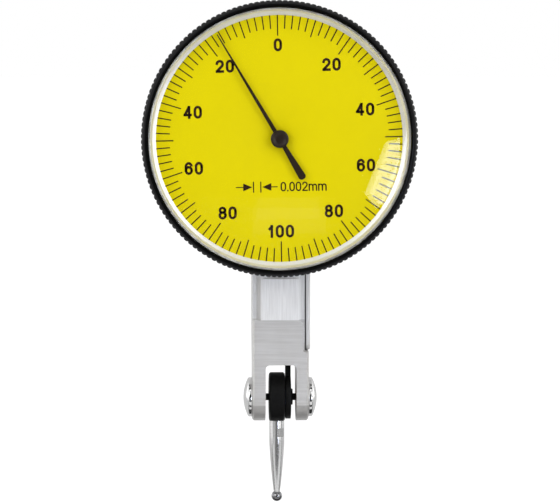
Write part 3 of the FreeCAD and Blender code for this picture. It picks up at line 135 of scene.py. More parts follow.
class DialSizes(bpy.types.PropertyGroup):
    divisions: IntProperty(name="Divisions", description="Divisions round the dial", default=100)
    tick_outer: FloatProperty(
        name="Tick start", description="Radius where every tick starts", default=17.86 * MM, unit="LENGTH"
    )
    tick_short: FloatProperty(
        name="Short tick", description="Length of a plain tick", default=2.0 * MM, unit="LENGTH"
    )
    tick_middle: FloatProperty(
        name="Middle tick", description="Length of every fifth tick", default=2.55 * MM, unit="LENGTH"
    )
    tick_long: FloatProperty(
        name="Long tick", description="Length of every tenth tick", default=3.0 * MM, unit="LENGTH"
    )
    tick_width: FloatProperty(
        name="Tick width", description="Width of the printed lines", default=0.17 * MM, unit="LENGTH"
    )
    number_height: FloatProperty(
        name="Number height", description="Height of the printed numbers", default=1.87 * MM, unit="LENGTH"
    )
    number_radius: FloatProperty(
        name="Number radius", description="Radius of the numbers' middles", default=13.1 * MM, unit="LENGTH"
    )
    print_turn: FloatProperty(
        name="Print turn", description="Turn of the bezel", default=math.radians(-1.0), subtype="ANGLE"
    )
    dial_color: FloatVectorProperty(
        name="Dial colour", description="Its enamel", default=(0.765, 0.655, 0.0), size=3, subtype="COLOR"
    )
    ink_color: FloatVectorProperty(
        name="Ink", description="Print and pointer", default=(0.03, 0.012, 0.004), size=3, subtype="COLOR"
    )


class BezelSizes(bpy.types.PropertyGroup):
    teeth: IntProperty(name="Teeth", description="Teeth of the knurled rim", default=150)
    tooth_depth: FloatProperty(
        name="Tooth depth", description="Depth of the knurl", default=0.15 * MM, unit="LENGTH"
    )
    rim_round: FloatProperty(
        name="Front round", description="Rounding of the front edge", default=0.6 * MM, unit="LENGTH"
    )
    opening: FloatProperty(
        name="Opening", description="Radius of the front opening", default=18.95 * MM, unit="LENGTH"
    )
    color: FloatVectorProperty(
        name="Black", description="Colour of the bezel", default=(0.0025,) * 3, size=3, subtype="COLOR"
    )


class MetalColors(bpy.types.PropertyGroup):
    satin: FloatVectorProperty(
        name="Satin chrome", description="Case and cover", default=(0.9, 0.88, 0.86), size=3, subtype="COLOR"
    )
    chrome: FloatVectorProperty(
        name="Polished chrome", description="Caps and stylus", default=(0.78,) * 3, size=3, subtype="COLOR"
    )
    black: FloatVectorProperty(
        name="Blackened steel", description="Hub and lever", default=(0.003,) * 3, size=3, subtype="COLOR"
    )
    brass: FloatVectorProperty(
        name="Brass", description="Wheels and bridges", default=(0.7, 0.5, 0.18), size=3, subtype="COLOR"
    )


class Signal:
    """A socket of a node tree. Arithmetic on it adds Math nodes."""

    def __init__(self, maker, socket):
        self.maker = maker
        self.socket = socket

    def _math(self, operation, first, second=0.0):
        return self.maker.node("ShaderNodeMath", {"operation": operation}, {0: first, 1: second})

    def __add__(self, other):
        return self._math("ADD", self, other)

    def __radd__(self, other):
        return self._math("ADD", other, self)

    def __sub__(self, other):
        return self._math("SUBTRACT", self, other)

    def __rsub__(self, other):
        return self._math("SUBTRACT", other, self)

    def __mul__(self, other):
        return self._math("MULTIPLY", self, other)

    def __rmul__(self, other):
        return self._math("MULTIPLY", other, self)

    def __truediv__(self, other):
        return self._math("DIVIDE", self, other)

    def __rtruediv__(self, other):
        return self._math("DIVIDE", other, self)

    def __pow__(self, other):
        return self._math("POWER", self, other)

    def __mod__(self, other):
        return self._math("MODULO", self, other)

    def __gt__(self, other):
        return self._math("GREATER_THAN", self, other)

    def __lt__(self, other):
        return self._math("LESS_THAN", self, other)

    def at_most(self, other):
        return self._math("MINIMUM", self, other)

    def at_least(self, other):
        return self._math("MAXIMUM", self, other)

    def size(self):
        return self._math("ABSOLUTE", self)

    def sine(self):
        return self._math("SINE", self)

    def cosine(self):
        return self._math("COSINE", self)


class NodeMaker:
    """Adds nodes to a tree."""

    def __init__(self, tree):
        self.tree = tree

    def node(self, kind, settings=None, inputs=None, output=0):
        """Add a node, set its settings first and then the values or links of its sockets."""
        made = self.tree.nodes.new(kind)
        for name, value in (settings or {}).items():
            setattr(made, name, value)
        for name, value in (inputs or {}).items():
            self.feed(made.inputs[name], value)
        return Signal(self, made.outputs[output])

    def feed(self, socket, value):
        if isinstance(value, Signal):
            self.tree.links.new(value.socket, socket)
        else:
            socket.default_value = value

    def seen_rays(self):
        """One for rays from the camera, a mirror or glass, nought for the light on dull surfaces."""
        rays = self.node("ShaderNodeLightPath").socket.node.outputs
        seen = Signal(self, rays["Is Camera Ray"]).at_least(Signal(self, rays["Is Glossy Ray"]))
        return seen.at_least(Signal(self, rays["Is Transmission Ray"]))


class Finish(NodeMaker):
    """A material in the making, with its principled shader."""

    def __init__(self, name, color, roughness=0.5, metallic=0.0, specular=0.5):
        self.material = bpy.data.materials.new(name)
        self.material.use_nodes = True
        super().__init__(self.material.node_tree)
        self.shader = self.tree.nodes["Principled BSDF"]
        self.put("Base Color", (*color, 1.0))
        self.put("Roughness", roughness)
        self.put("Metallic", metallic)
        self.put("Specular IOR Level", specular)

    def put(self, name, value):
        self.feed(self.shader.inputs[name], value)

    def surface(self, factor, first, second):
        """End the material with a mix of two shaders."""
        mixed = self.node("ShaderNodeMixShader", {}, {0: factor, 1: first, 2: second})
        self.feed(self.tree.nodes["Material Output"].inputs["Surface"], mixed)

    def principled(self):
        return Signal(self, self.shader.outputs[0])

    def noise(self, scale, detail=2.0, roughness=0.5):
        """Grain on Object coordinates, with cycles for each metre on all axes or on each of them."""
        scale = scale if isinstance(scale, tuple) else (scale,) * 3
        place = self.node("ShaderNodeTexCoord", output=3)
        scaled = self.node("ShaderNodeMapping", {}, {"Vector": place, "Scale": scale})
        inputs = {"Vector": scaled, "Scale": 1.0, "Detail": detail, "Roughness": roughness}
        return self.node("ShaderNodeTexNoise", {"noise_dimensions": "3D"}, inputs)

    def axes(self):
        """The x, y and z of Object coordinates."""
        raw = self.node("ShaderNodeTexCoord", output=3)
        split = self.node("ShaderNodeSeparateXYZ", {}, {0: raw})
        return [Signal(self, split.socket.node.outputs[i]) for i in range(3)]

    def blend(self, factor, first, second):
        """A mix of two colours or colour sockets."""
        return self.node("ShaderNodeMix", {"data_type": "RGBA"}, {0: factor, 6: first, 7: second}, output=2)

    def tint(self, factor, dark, light):
        """A colour between two, by a factor."""
        return self.blend(factor, (*dark, 1.0), (*light, 1.0))

    def vary(self, factor, color, dark, light):
        """Let the colour run from a darker to a lighter shade by a factor."""
        self.put("Base Color", self.tint(factor, shade(color, dark), shade(color, light)))

    def bump(self, height, distance, strength):
        inputs = {"Height": height, "Distance": distance, "Strength": strength}
        self.put("Normal", self.node("ShaderNodeBump", {}, inputs))


def shade(color, factor):
    return tuple(min(1.0, c * factor) for c in color)


FINISHES = {}


def finish_of(maker):
    """A finish made once and shared by the pieces."""
    if maker not in FINISHES:
        FINISHES[maker] = maker().material
    return FINISHES[maker]


def satin_chrome():
    """Ground along the case above the dovetail's foot and across it below, with painted sheen on the dovetail
    face and the strip beside it, and painted shade on the lower face, on the ears' feet and in the gap round
    the cover.
    """
    color = bpy.context.scene.metal_colors.satin
    finish = Finish("satin_chrome", color, metallic=0.6)
    along = finish.noise((5200.0, 5200.0, 240.0), 3.0, 0.65)
    across = finish.noise((150.0, 3600.0, 3600.0), 3.0, 0.65)
    cloud = finish.noise((260.0, 260.0, 160.0))
    x, y, z = finish.axes()
    lower = (z < DOVETAIL_FOOT) * (y < CASE_LOW.y + LOWER_FACE_DEPTH)
    # Painted shade: the ears below their foot line are darkened, where the rounded ends face the dark table.
    foot = (z < EAR_FOOT) * 0.5
    # Painted sheen: above the dovetail's foot, the dovetail face and the strip left of it are made lighter,
    # as the light falls on them.
    rib = (x - RIB_MIDDLE).size() < RIB_HALF
    strip = x < RIB_MIDDLE - RIB_HALF
    face_sheen = (z > DOVETAIL_FOOT) * (rib * 0.27 + strip * 0.12)
    grain = along * (1 - lower) + (across * 0.7 + 0.15) * lower
    # Painted shadow: a near-black line where the gap between the cover and the case lies in shade.
    beside = (x - COVER_LOW.x).size() < GAP_SHADOW_HALF
    under = (z - COVER_LOW.z).size() < GAP_SHADOW_HALF
    gap_shadow = (beside * (z > COVER_LOW.z) + under * (x > COVER_LOW.x)).at_most(1.0)
    # Painted shade: the lower face below the dovetail's foot is darkened, besides its grinding running
    # across.
    tone = (grain * 0.75 + cloud * 0.2 - lower * 0.35 + face_sheen).at_least(0.0)
    metal = finish.tint(tone, shade(color, 0.6), shade(color, 1.22))
    # Painted shade on the ears' feet.
    metal = finish.blend(foot, metal, (*shade(color, 0.35), 1.0))
    finish.put("Base Color", finish.blend(gap_shadow * 0.93, metal, (0.01, 0.01, 0.01, 1.0)))
    finish.put("Roughness", 0.36 + grain * 0.16)
    finish.bump(grain, 0.012 * MM, 0.5)
    return finish


def polished_chrome():
    color = bpy.context.scene.metal_colors.chrome
    finish = Finish("polished_chrome", color, metallic=1.0)
    smear = finish.noise((500.0, 500.0, 260.0), 3.0)
    finish.vary(smear, color, 0.94, 1.05)
    finish.put("Roughness", 0.1 + smear * 0.08)
    finish.bump(finish.noise(7000.0), 0.002 * MM, 0.3)
    return finish


def turned_chrome():
    """The shank's metal, with fine turning marks round it."""
    color = bpy.context.scene.metal_colors.chrome
    finish = Finish("turned_chrome", color, metallic=0.85)
    marks = finish.noise((300.0, 300.0, 9000.0), 3.0)
    smear = finish.noise((1800.0, 1800.0, 300.0), 3.0)
    finish.vary(smear, color, 0.7, 1.05)
    finish.put("Roughness", 0.1 + smear * 0.1)
    finish.bump(marks, 0.004 * MM, 0.4)
    return finish


def ball_metal():
    finish = Finish("ball_metal", (0.28, 0.28, 0.29), metallic=1.0)
    finish.put("Roughness", 0.1 + finish.noise(2500.0) * 0.08)
    return finish


def black_bezel():
    """Black moulded rim with a faint grain, its outer edge and knurl lightened by painted sheen."""
    color = bpy.context.scene.bezel_sizes.color
    finish = Finish("black_bezel", color, specular=0.06)
    mottle = finish.noise(700.0, 4.0)
    x, _, z = finish.axes()
    # Painted sheen: the outer edge and the knurl are blended towards grey, standing in for their glints.
    edge_sheen = ((x * x + z * z) ** 0.5 > SHEEN_EDGE) * (0.3 + mottle)
    black = finish.tint(mottle, shade(color, 0.6), shade(color, 1.4))
    finish.put("Base Color", finish.blend(edge_sheen.at_most(1.0), black, (0.016, 0.016, 0.017, 1.0)))
    finish.put("Roughness", 0.13 + mottle * 0.12)
    finish.bump(finish.noise(9000.0, 3.0), 0.004 * MM, 0.4)
    return finish


def black_paint():
    finish = Finish("black_paint", (0.006, 0.006, 0.006), specular=0.25)
    grain = finish.noise(5000.0, 3.0)
    finish.put("Roughness", 0.38 + grain * 0.18)
    finish.bump(grain, 0.006 * MM, 0.4)
    return finish


def black_steel():
    """Blackened steel of the hub and the lever."""
    color = bpy.context.scene.metal_colors.black
    finish = Finish("black_steel", color, specular=0.12)
    grain = finish.noise((6000.0, 14000.0, 6000.0), 3.0)
    finish.vary(finish.noise(1200.0, 3.0), color, 0.7, 1.5)
    finish.put("Roughness", 0.34 + grain * 0.2)
    finish.bump(grain, 0.006 * MM, 0.4)
    return finish


def dial_enamel():
    """Yellow enamel with a slight unevenness."""
    color = bpy.context.scene.dial_sizes.dial_color
    finish = Finish("dial_enamel", color, specular=0.03)
    grain = finish.noise(4000.0)
    finish.vary(finish.noise(90.0, 3.0), color, 0.975, 1.02)
    finish.put("Roughness", 0.46 + grain * 0.1)
    finish.bump(grain, 0.003 * MM, 0.3)
    return finish


def dial_ink():
    color = bpy.context.scene.dial_sizes.ink_color
    finish = Finish("dial_ink", color, 0.55, specular=0.08)
    finish.vary(finish.noise(1500.0, 3.0), color, 0.8, 1.3)
    return finish


def pointer_lacquer():
    """The ink's colour, darker and glossier."""
    color = bpy.context.scene.dial_sizes.ink_color
    finish = Finish("pointer_lacquer", shade(color, 0.5), specular=0.3)
    cloud = finish.noise(1500.0, 3.0)
    finish.vary(cloud, color, 0.3, 0.7)
    finish.put("Roughness", 0.3 + cloud * 0.12)
    return finish


def ring_silver():
    """Silver lacquer of the light ring, with faint turning lines."""
    finish = Finish("ring_silver", (0.9, 0.89, 0.86), metallic=0.5)
    depth = finish.axes()[1]
    line_inputs = {"W": depth, "Scale": 9000.0, "Detail": 2.0}
    lines = finish.node("ShaderNodeTexNoise", {"noise_dimensions": "1D"}, line_inputs)
    finish.put("Base Color", finish.tint(finish.noise(300.0), (0.78, 0.77, 0.73), (0.9, 0.89, 0.85)))
    finish.put("Roughness", 0.26 + lines * 0.12)
    return finish


def brass():
    color = bpy.context.scene.metal_colors.brass
    finish = Finish("turned_brass", color, metallic=1.0)
    finish.vary(finish.noise(700.0, 3.0), color, 0.8, 1.1)
    finish.put("Roughness", 0.22 + finish.noise(9000.0, 3.0) * 0.16)
    return finish


def bronze():
    finish = Finish("bush_bronze", (0.5, 0.3, 0.14), metallic=1.0)
    finish.put("Roughness", 0.28 + finish.noise(9000.0, 3.0) * 0.18)
    return finish


def screw_steel():
    finish = Finish("screw_steel", (0.55, 0.55, 0.56), metallic=1.0)
    grain = finish.noise((9000.0, 12000.0, 9000.0), 3.0)
    finish.put("Base Color", finish.tint(grain, (0.46, 0.46, 0.47), (0.62, 0.62, 0.62)))
    finish.put("Roughness", 0.2 + grain * 0.2)
    return finish


def blued_spring():
    finish = Finish("blued_spring", (0.1, 0.13, 0.22), metallic=1.0)
    finish.put("Roughness", 0.18 + finish.noise(5000.0) * 0.16)
    return finish


def clear_crystal():
    """A clear shell that shows only its gloss, which grows towards the edge."""
    finish = Finish("clear_crystal", (1.0, 1.0, 1.0), metallic=1.0)
    finish.put("Roughness", 0.015 + finish.noise(900.0, 3.0) * 0.02)
    see = finish.node("ShaderNodeBsdfTransparent")
    slant = finish.node("ShaderNodeLayerWeight", {}, {"Blend": 0.5}, output=1)
    front_gloss = 0.03
    finish.surface(front_gloss + (1 - front_gloss) * slant ** 5, see, finish.principled())
    return finish


NODE_FINISHES = {
    screw_steel: [
        "dial_case_screws", "centre_bridge_screws", "movement_bridge_screws", "travel_stop_pins",
        "centre_arbor", "centre_pinion", "crown_arbor", "crown_pinion", "sector_arbor", "drive_pin",
    ],
    brass: [
        "centre_bridge", "movement_bridge", "hairspring_stud", "hairspring_collet", "crown_wheel",
        "sector_lever",
    ],
    bronze: [
        "centre_bush_rear", "centre_bush_front", "crown_bushes", "sector_bushes",
        "pivot_bush_left", "pivot_bush_right",
    ],
    blued_spring: ["hairspring", "bezel_spring_ring", "hub_clip", "clutch_washer"],
    black_steel: ["pivot_shaft"],
}


def as_object(name, data):
    """A new object in the scene that shows the data."""
    made = bpy.data.objects.new(name, data)
    bpy.context.scene.collection.objects.link(made)
    return made


def mesh_of(bm):
    """A mesh from a bmesh, which is then freed."""
    mesh = bpy.data.meshes.new("shape")
    bm.to_mesh(mesh)
    bm.free()
    return mesh


def outward_mesh(bm):
    """A mesh whose faces all point outwards."""
    bmesh.ops.recalc_face_normals(bm, faces=bm.faces)
    return mesh_of(bm)


def mesh_piece(name, mesh, finish, body, nodes=(), smooth=35.0):
    """Make a mesh a piece that rides on a body and stands for CAD nodes. No angle keeps its shading."""
    mesh.name = name
    mesh.materials.clear()
    mesh.materials.append(finish_of(finish))
    mesh.polygons.foreach_set("material_index", [0] * len(mesh.polygons))
    if smooth is not None:
        mesh.polygons.foreach_set("use_smooth", [True] * len(mesh.polygons))
        mesh.set_sharp_from_angle(angle=math.radians(smooth))
    piece = as_object(name, mesh)
    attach(piece, body)
    if nodes:
        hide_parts(*nodes)


AXIS_TURNS = {
    "X": Matrix(((0, 0, 1), (1, 0, 0), (0, 1, 0))),
    "Y": Matrix(((0, 1, 0), (0, 0, 1), (1, 0, 0))),
    "Z": Matrix.Identity(3),
}


def lathe(profile, steps, axis, centre=(0.0, 0.0, 0.0), closed=True):
    """Turn a profile of (radius, height) points about an axis. Points on the axis become poles."""
    bm = bmesh.new()
    rings = []
    for radius, height in profile:
        angles = [TURN * i / steps for i in range(steps)] if radius > 0 else [0.0]
        rings.append([bm.verts.new((radius * math.cos(a), radius * math.sin(a), height)) for a in angles])
    count = len(rings) if closed else len(rings) - 1
    for k in range(count):
        low, high = rings[k], rings[(k + 1) % len(rings)]
        if len(low) == 1 and len(high) == 1:
            continue
        for i in range(steps):
            j = (i + 1) % steps
            corners = [low[i % len(low)], low[j % len(low)], high[j % len(high)], high[i % len(high)]]
            bm.faces.new(list(dict.fromkeys(corners)))
    matrix = Matrix.Translation(Vector(centre)) @ AXIS_TURNS[axis].to_4x4()
    bmesh.ops.transform(bm, matrix=matrix, verts=bm.verts)
    return bm


def rounded_profile(corners, steps):
    """A closed profile from (radius, height, rounding) corners."""
    points = []
    count = len(corners)
    for i, (radius, height, rounding) in enumerate(corners):
        if rounding <= 0:
            points.append((radius, height))
            continue
        here = Vector((radius, height))
        before = (Vector(corners[i - 1][:2]) - here).normalized()
        after = (Vector(corners[(i + 1) % count][:2]) - here).normalized()
        half = before.angle(after) / 2
        along = rounding / math.tan(half)
        centre = here + (before + after).normalized() * (rounding / math.sin(half))
        start = here + before * along - centre
        end = here + after * along - centre
        sweep = start.angle_signed(end)
        for k in range(steps + 1):
            points.append(tuple(centre + Matrix.Rotation(-sweep * k / steps, 2) @ start))
    return points


class Geometry(NodeMaker):
    """A Geometry Nodes tree in the making, used once and turned into a plain mesh."""

    def __init__(self, name):
        super().__init__(bpy.data.node_groups.new(name, "GeometryNodeTree"))
        self.tree.interface.new_socket("Geometry", in_out="OUTPUT", socket_type="NodeSocketGeometry")
        self.group_in = self.tree.nodes.new("NodeGroupInput")
        self.group_out = self.tree.nodes.new("NodeGroupOutput")
        self.values = {}

    def size(self, name, kind, value):
        """A named input of the tree with its value."""
        item = self.tree.interface.new_socket(name, in_out="INPUT", socket_type=kind)
        self.values[item.identifier] = value
        socket = next(s for s in self.group_in.outputs if s.identifier == item.identifier)
        return Signal(self, socket)

    def ring_of(self, count, radius, height, start, instance, scale=(1.0, 1.0, 1.0)):
        """Put an instance at each of the evenly spaced places of a circle about the pointer's axis."""
        points = self.node("GeometryNodePoints", {}, {"Count": count})
        angle = self.node("GeometryNodeInputIndex") * (TURN / count) + start
        across, up = angle.sine() * radius, angle.cosine() * radius
        place = self.node("ShaderNodeCombineXYZ", {}, {0: across, 1: height, 2: up})
        placed = self.node("GeometryNodeSetPosition", {}, {"Geometry": points, "Position": place})
        turn = self.node("ShaderNodeCombineXYZ", {}, {1: angle})
        inputs = {"Points": placed, "Instance": instance, "Rotation": turn, "Scale": scale}
        return self.node("GeometryNodeInstanceOnPoints", {}, inputs)

    def mesh(self, geometry, finish, name):
        """Realize the instances, give them their material and return a plain mesh."""
        real = self.node("GeometryNodeRealizeInstances", {}, {0: geometry})
        painted = self.node("GeometryNodeSetMaterial", {}, {"Geometry": real, "Material": finish_of(finish)})
        self.tree.links.new(painted.socket, self.group_out.inputs[0])
        carrier = as_object(name, bpy.data.meshes.new(name))
        modifier = carrier.modifiers.new(name, "NODES")
        modifier.node_group = self.tree
        for identifier, value in self.values.items():
            modifier[identifier] = value
        return plain_mesh(carrier)


def plain_mesh(carrier):
    """The evaluated mesh of an object, which is then removed."""
    depsgraph = bpy.context.evaluated_depsgraph_get()
    mesh = bpy.data.meshes.new_from_object(carrier.evaluated_get(depsgraph), depsgraph=depsgraph)
    bpy.data.objects.remove(carrier)
    return mesh


def joined(meshes):
    """One mesh from several, which are then removed."""
    bm = bmesh.new()
    for mesh in meshes:
        bm.from_mesh(mesh)
        bpy.data.meshes.remove(mesh)
    return mesh_of(bm)


class StageOperator(bpy.types.Operator):
    """Make the floor, the background, the lamps and the camera"""

    bl_idname = "indicator.stage"
    bl_label = "Stage"

    def execute(self, context):
        make_floor()
        make_world()
        make_lamps()
        make_camera()
        context.scene.view_settings.view_transform = "Standard"
        return {"FINISHED"}


def white_floor():
    """A floor as white as the background that still takes a soft shadow."""
    finish = Finish("white_floor", (0.95, 0.95, 0.95), 0.8, specular=0.0)
    glow = finish.node("ShaderNodeEmission", {}, {"Strength": 1.3})
    finish.surface(finish.seen_rays() * 0.7, finish.principled(), glow)
    return finish


def make_floor():
    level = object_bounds()[0].z - FLOOR_DROP
    mesh = bpy.data.meshes.new("floor")
    corners = [(x * FLOOR_HALF, y * FLOOR_HALF, level) for x, y in ((-1, -1), (1, -1), (1, 1), (-1, 1))]
    mesh.from_pydata(corners, [], [(0, 1, 2, 3)])
    mesh.materials.append(white_floor().material)
    as_object("floor", mesh)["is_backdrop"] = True


def make_world():
    """White to the camera and in reflections, softer on the surfaces."""
    world = bpy.data.worlds.new("studio")
    world.use_nodes = True
    bpy.context.scene.world = world
    maker = NodeMaker(world.node_tree)
    back = world.node_tree.nodes["Background"]
    maker.feed(back.inputs["Color"], (1.0, 1.0, 1.0, 1.0))
    maker.feed(back.inputs["Strength"], WORLD_LEVEL + maker.seen_rays() * (1.0 - WORLD_LEVEL))


def aim(obj, target):
    direction = Vector(target) - obj.location
    obj.rotation_mode = "QUATERNION"
    obj.rotation_quaternion = direction.to_track_quat("-Z", "Y")


def softbox(name, azimuth, elevation, width, height, radiance):
    """An area lamp seen from the object at an azimuth right of the camera side and an elevation."""
    a, e = math.radians(azimuth), math.radians(elevation)
    direction = Vector((math.sin(a) * math.cos(e), -math.cos(a) * math.cos(e), math.sin(e)))
    lamp = bpy.data.lights.new(name, "AREA")
    lamp.shape = "RECTANGLE"
    lamp.size = width
    lamp.size_y = height
    lamp.energy = radiance * math.pi * width * height
    obj = as_object(name, lamp)
    obj.location = LAMP_FOCUS + direction * LAMP_DISTANCE
    aim(obj, LAMP_FOCUS)
    obj.visible_camera = False


def card(name, corners, brightness, color=(1.0, 1.0, 1.0)):
    """A card outside the picture that only reflections see."""
    mesh = bpy.data.meshes.new(name)
    mesh.from_pydata([Vector(c) for c in corners], [], [tuple(range(len(corners)))])
    finish = Finish(name, (0.0, 0.0, 0.0), 1.0, specular=0.0)
    finish.put("Emission Color", (*color, 1.0))
    finish.put("Emission Strength", brightness)
    mesh.materials.append(finish.material)
    made = as_object(name, mesh)
    for ray in ("camera", "diffuse", "shadow", "transmission"):
        setattr(made, "visible_" + ray, False)
    made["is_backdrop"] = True


def wall(name, start, end, bottom, top, brightness):
    """An upright card between two (x, y) places."""
    card(name, [(*start, bottom), (*end, bottom), (*end, top), (*start, top)], brightness)


def level_card(name, half, front, back, z, brightness):
    """A level card that reaches as far left as right."""
    card(name, [(-half, front, z), (half, front, z), (half, back, z), (-half, back, z)], brightness)


def make_tent(low):
    """A grey tent round the stage, with its top and its floor, seen in reflections alone."""
    bm = bmesh.new()
    bmesh.ops.create_cone(
        bm, cap_ends=True, segments=32, radius1=TENT_RADIUS, radius2=TENT_RADIUS, depth=TENT_HEIGHT
    )
    bmesh.ops.translate(bm, verts=bm.verts, vec=(0.0, 0.0, low + TENT_HEIGHT / 2))
    corners = [[v.co.copy() for v in face.verts] for face in bm.faces]
    bm.free()
    for i, face in enumerate(corners):
        card("tent_{}".format(i), face, TENT_LEVEL)


def make_lamps():
    """Two side windows and one above, and cards that the polished parts reflect."""
    softbox("lamp_left", -42.0, 16.0, 0.6, 0.7, 2.3)
    softbox("lamp_right", 42.0, 10.0, 0.6, 0.7, 2.3)
    softbox("lamp_top", 5.0, 58.0, 0.8, 0.5, 1.8)
    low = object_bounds()[0].z - FLOOR_DROP + 1.0 * MM
    make_tent(low)
    wall("dark_front", (-0.22, -0.6), (0.25, -0.6), low, 0.2, DARK_LEVEL)
    table = [(-0.22, -0.6, low), (0.25, -0.6, low), (0.12, -0.18, low), (-0.12, -0.18, low)]
    card("dark_table", table, DARK_LEVEL)
    for number, (front, back, brightness) in enumerate(TABLE_STRIPS):
        level_card("table_{}".format(number), 0.3, front, back, low, brightness)
    level_card("dark_above", 0.5, -0.31, -0.165, 0.31, DARK_LEVEL)
    for side, levels in SIDE_LEVELS.items():
        plan = [(side * x, y) for x, y in SIDE_PLAN]
        for (name, top), start, end, brightness in zip(SIDE_WALLS, plan, plan[1:], levels):
            wall(name, start, end, low, top, brightness)
    for name, y, brightness, color, corners in WINDOWS:
        card(name, [(x, y, z) for x, z in corners], brightness, color)
    wall("window_low", (-0.012, -0.45), (0.062, -0.45), -0.128, -0.086, 0.4)


def make_camera():
    data = bpy.data.cameras.new("camera")
    data.lens = CAMERA_LENS
    data.sensor_width = 36.0
    data.clip_start = 0.01
    data.clip_end = 50.0
    camera = as_object("camera", data)
    camera.location = CAMERA_PLACE
    aim(camera, CAMERA_AIM)
    bpy.context.scene.camera = camera


class MovementOperator(bpy.types.Operator):
    """Give the inner pieces their metals"""

    bl_idname = "indicator.movement"
    bl_label = "Movement"

    def execute(self, context):
        for finish, nodes in NODE_FINISHES.items():
            for node in nodes:
                paint_node(node, finish)
        return {"FINISHED"}


def paint_node(node, finish):
    """Give a CAD node its finish."""
    piece = frame["nodes"][node]
    if not piece.data.materials:
        piece.data.materials.append(None)
    for slot in piece.material_slots:
        slot.material = finish_of(finish)


def refined_copy(node, name, finish, body, width):
    """A merged copy of a CAD node whose edges are broken by a small bevel and whose flats shade flat."""
    bm = bmesh.new()
    bm.from_mesh(frame["nodes"][node].data)
    bmesh.ops.remove_doubles(bm, verts=bm.verts, dist=0.002 * MM)
    bmesh.ops.dissolve_limit(bm, angle_limit=math.radians(1.0), verts=bm.verts, edges=bm.edges)
    for face in bm.faces:
        face.smooth = True
    carrier = as_object(name, mesh_of(bm))
    bevel = carrier.modifiers.new("edges", "BEVEL")
    bevel.width = width
    bevel.segments = 2
    bevel.limit_method = "ANGLE"
    bevel.angle_limit = math.radians(32)
    weighted = carrier.modifiers.new("shading", "WEIGHTED_NORMAL")
    weighted.mode = "FACE_AREA"
    weighted.weight = 100
    mesh_piece(name, plain_mesh(carrier), finish, body, [node], smooth=None)


class CaseOperator(bpy.types.Operator):
    """Make the case, its cover and its screws, and paint the dish behind the bezel"""

    bl_idname = "indicator.case"
    bl_label = "Case"

    def execute(self, context):
        refined_copy("case_body", "case_shell", satin_chrome, "case", 0.05 * MM)
        refined_copy("side_cover", "cover_plate", satin_chrome, "case", 0.05 * MM)
        paint_node("side_cover_screws", screw_steel)
        paint_node("dial_case", black_paint)
        return {"FINISHED"}


class CapOperator(bpy.types.Operator):
    """Make the two domed caps of the stylus pivot"""

    bl_idname = "indicator.caps"
    bl_label = "Pivot caps"

    def execute(self, context):
        for side, outward in (("left", -1.0), ("right", 1.0)):
            make_cap("pivot_cap_" + side, "cap_" + side, outward)
        return {"FINISHED"}


def dome_radius(reach, rise):
    """The radius of a dome that rises so much over a foot that reaches so far from its middle."""
    return (reach * reach + rise * rise) / (2 * rise)


def make_cap(node, name, outward):
    """A cap with a straight rim, a rolled corner and a domed face."""
    low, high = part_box(node)
    radius = (high.z - low.z) / 2
    height = high.x - low.x
    seat = low.x if outward > 0 else high.x
    rim = 0.58 * MM
    ease = 0.04 * MM
    roll, roll_middle, roll_rise = 0.12 * MM, 0.03 * MM, 0.05 * MM
    dome_edge = radius - 0.2 * MM
    dome = dome_radius(radius, height - rim)
    profile = [(0.0, 0.0), (radius - ease, 0.0), (radius, ease), (radius, rim - roll)]
    profile += [(radius - roll_middle, rim - roll_middle), (radius - roll, rim + roll_rise)]
    steps = 14
    limit = math.asin(dome_edge / dome)
    for i in range(steps + 1):
        angle = limit * (1 - i / steps)
        profile.append((dome * math.sin(angle), height - dome + dome * math.cos(angle)))
    placed = [(r, h * outward) for r, h in profile]
    bm = lathe(placed, 96, "X", (seat, PIVOT.y, PIVOT.z), closed=False)
    mesh_piece(name, outward_mesh(bm), polished_chrome, "case", [node], 50.0)


class BezelOperator(bpy.types.Operator):
    """Make the knurled bezel"""

    bl_idname = "indicator.bezel"
    bl_label = "Bezel"

    def execute(self, context):
        make_bezel(context.scene.bezel_sizes)
        return {"FINISHED"}


def make_bezel(sizes):
    """A turned rim with teeth set round it."""
    tip = BEZEL_HIGH.x
    front, back = BEZEL_LOW.y, BEZEL_HIGH.y
    rim = tip - sizes.tooth_depth - 0.05 * MM
    dish_flange = 0.85 * MM
    bore = DISH_HIGH.x - dish_flange
    ledge = bore - 0.5 * MM
    ledge_back = DIAL_HIGH.y + 0.4 * MM
    corners = [
        (bore, back, 0.05 * MM),
        (rim, back, 0.35 * MM),
        (rim, front, sizes.rim_round),
        (sizes.opening, front, 0.12 * MM),
        (sizes.opening, DIAL_HIGH.y, 0.0),
        (ledge, DIAL_HIGH.y, 0.0),
        (ledge, ledge_back, 0.0),
        (bore, ledge_back, 0.0),
    ]
    turned = outward_mesh(lathe(rounded_profile(corners, 6), 300, "Y"))
    knurl = make_knurl(sizes, tip, front + sizes.rim_round * 0.9, back - 0.4 * MM)
    mesh_piece("bezel", joined([turned, knurl]), black_bezel, "bezel", ["bezel_ring"], 40.0)


def tooth_shape(width, depth, front, back):
    """One rounded tooth, its top outwards along Z, its length along Y."""
    bm = bmesh.new()
    across = [(-0.5, -1.0), (-0.36, -0.35), (-0.18, 0.0), (0.18, 0.0), (0.36, -0.35), (0.5, -1.0)]
    ease = depth * 1.2
    rows = [(front, 1.0), (front + ease, 0.0), (back - ease, 0.0), (back, 1.0)]
    grid = []
    for y, sunk in rows:
        grid.append([bm.verts.new((u * width, y, v * depth - sunk * depth * (1 + v))) for u, v in across])
    for low, high in zip(grid, grid[1:]):
        for i in range(len(across) - 1):
            bm.faces.new([low[i], high[i], high[i + 1], low[i + 1]])
    return mesh_of(bm)


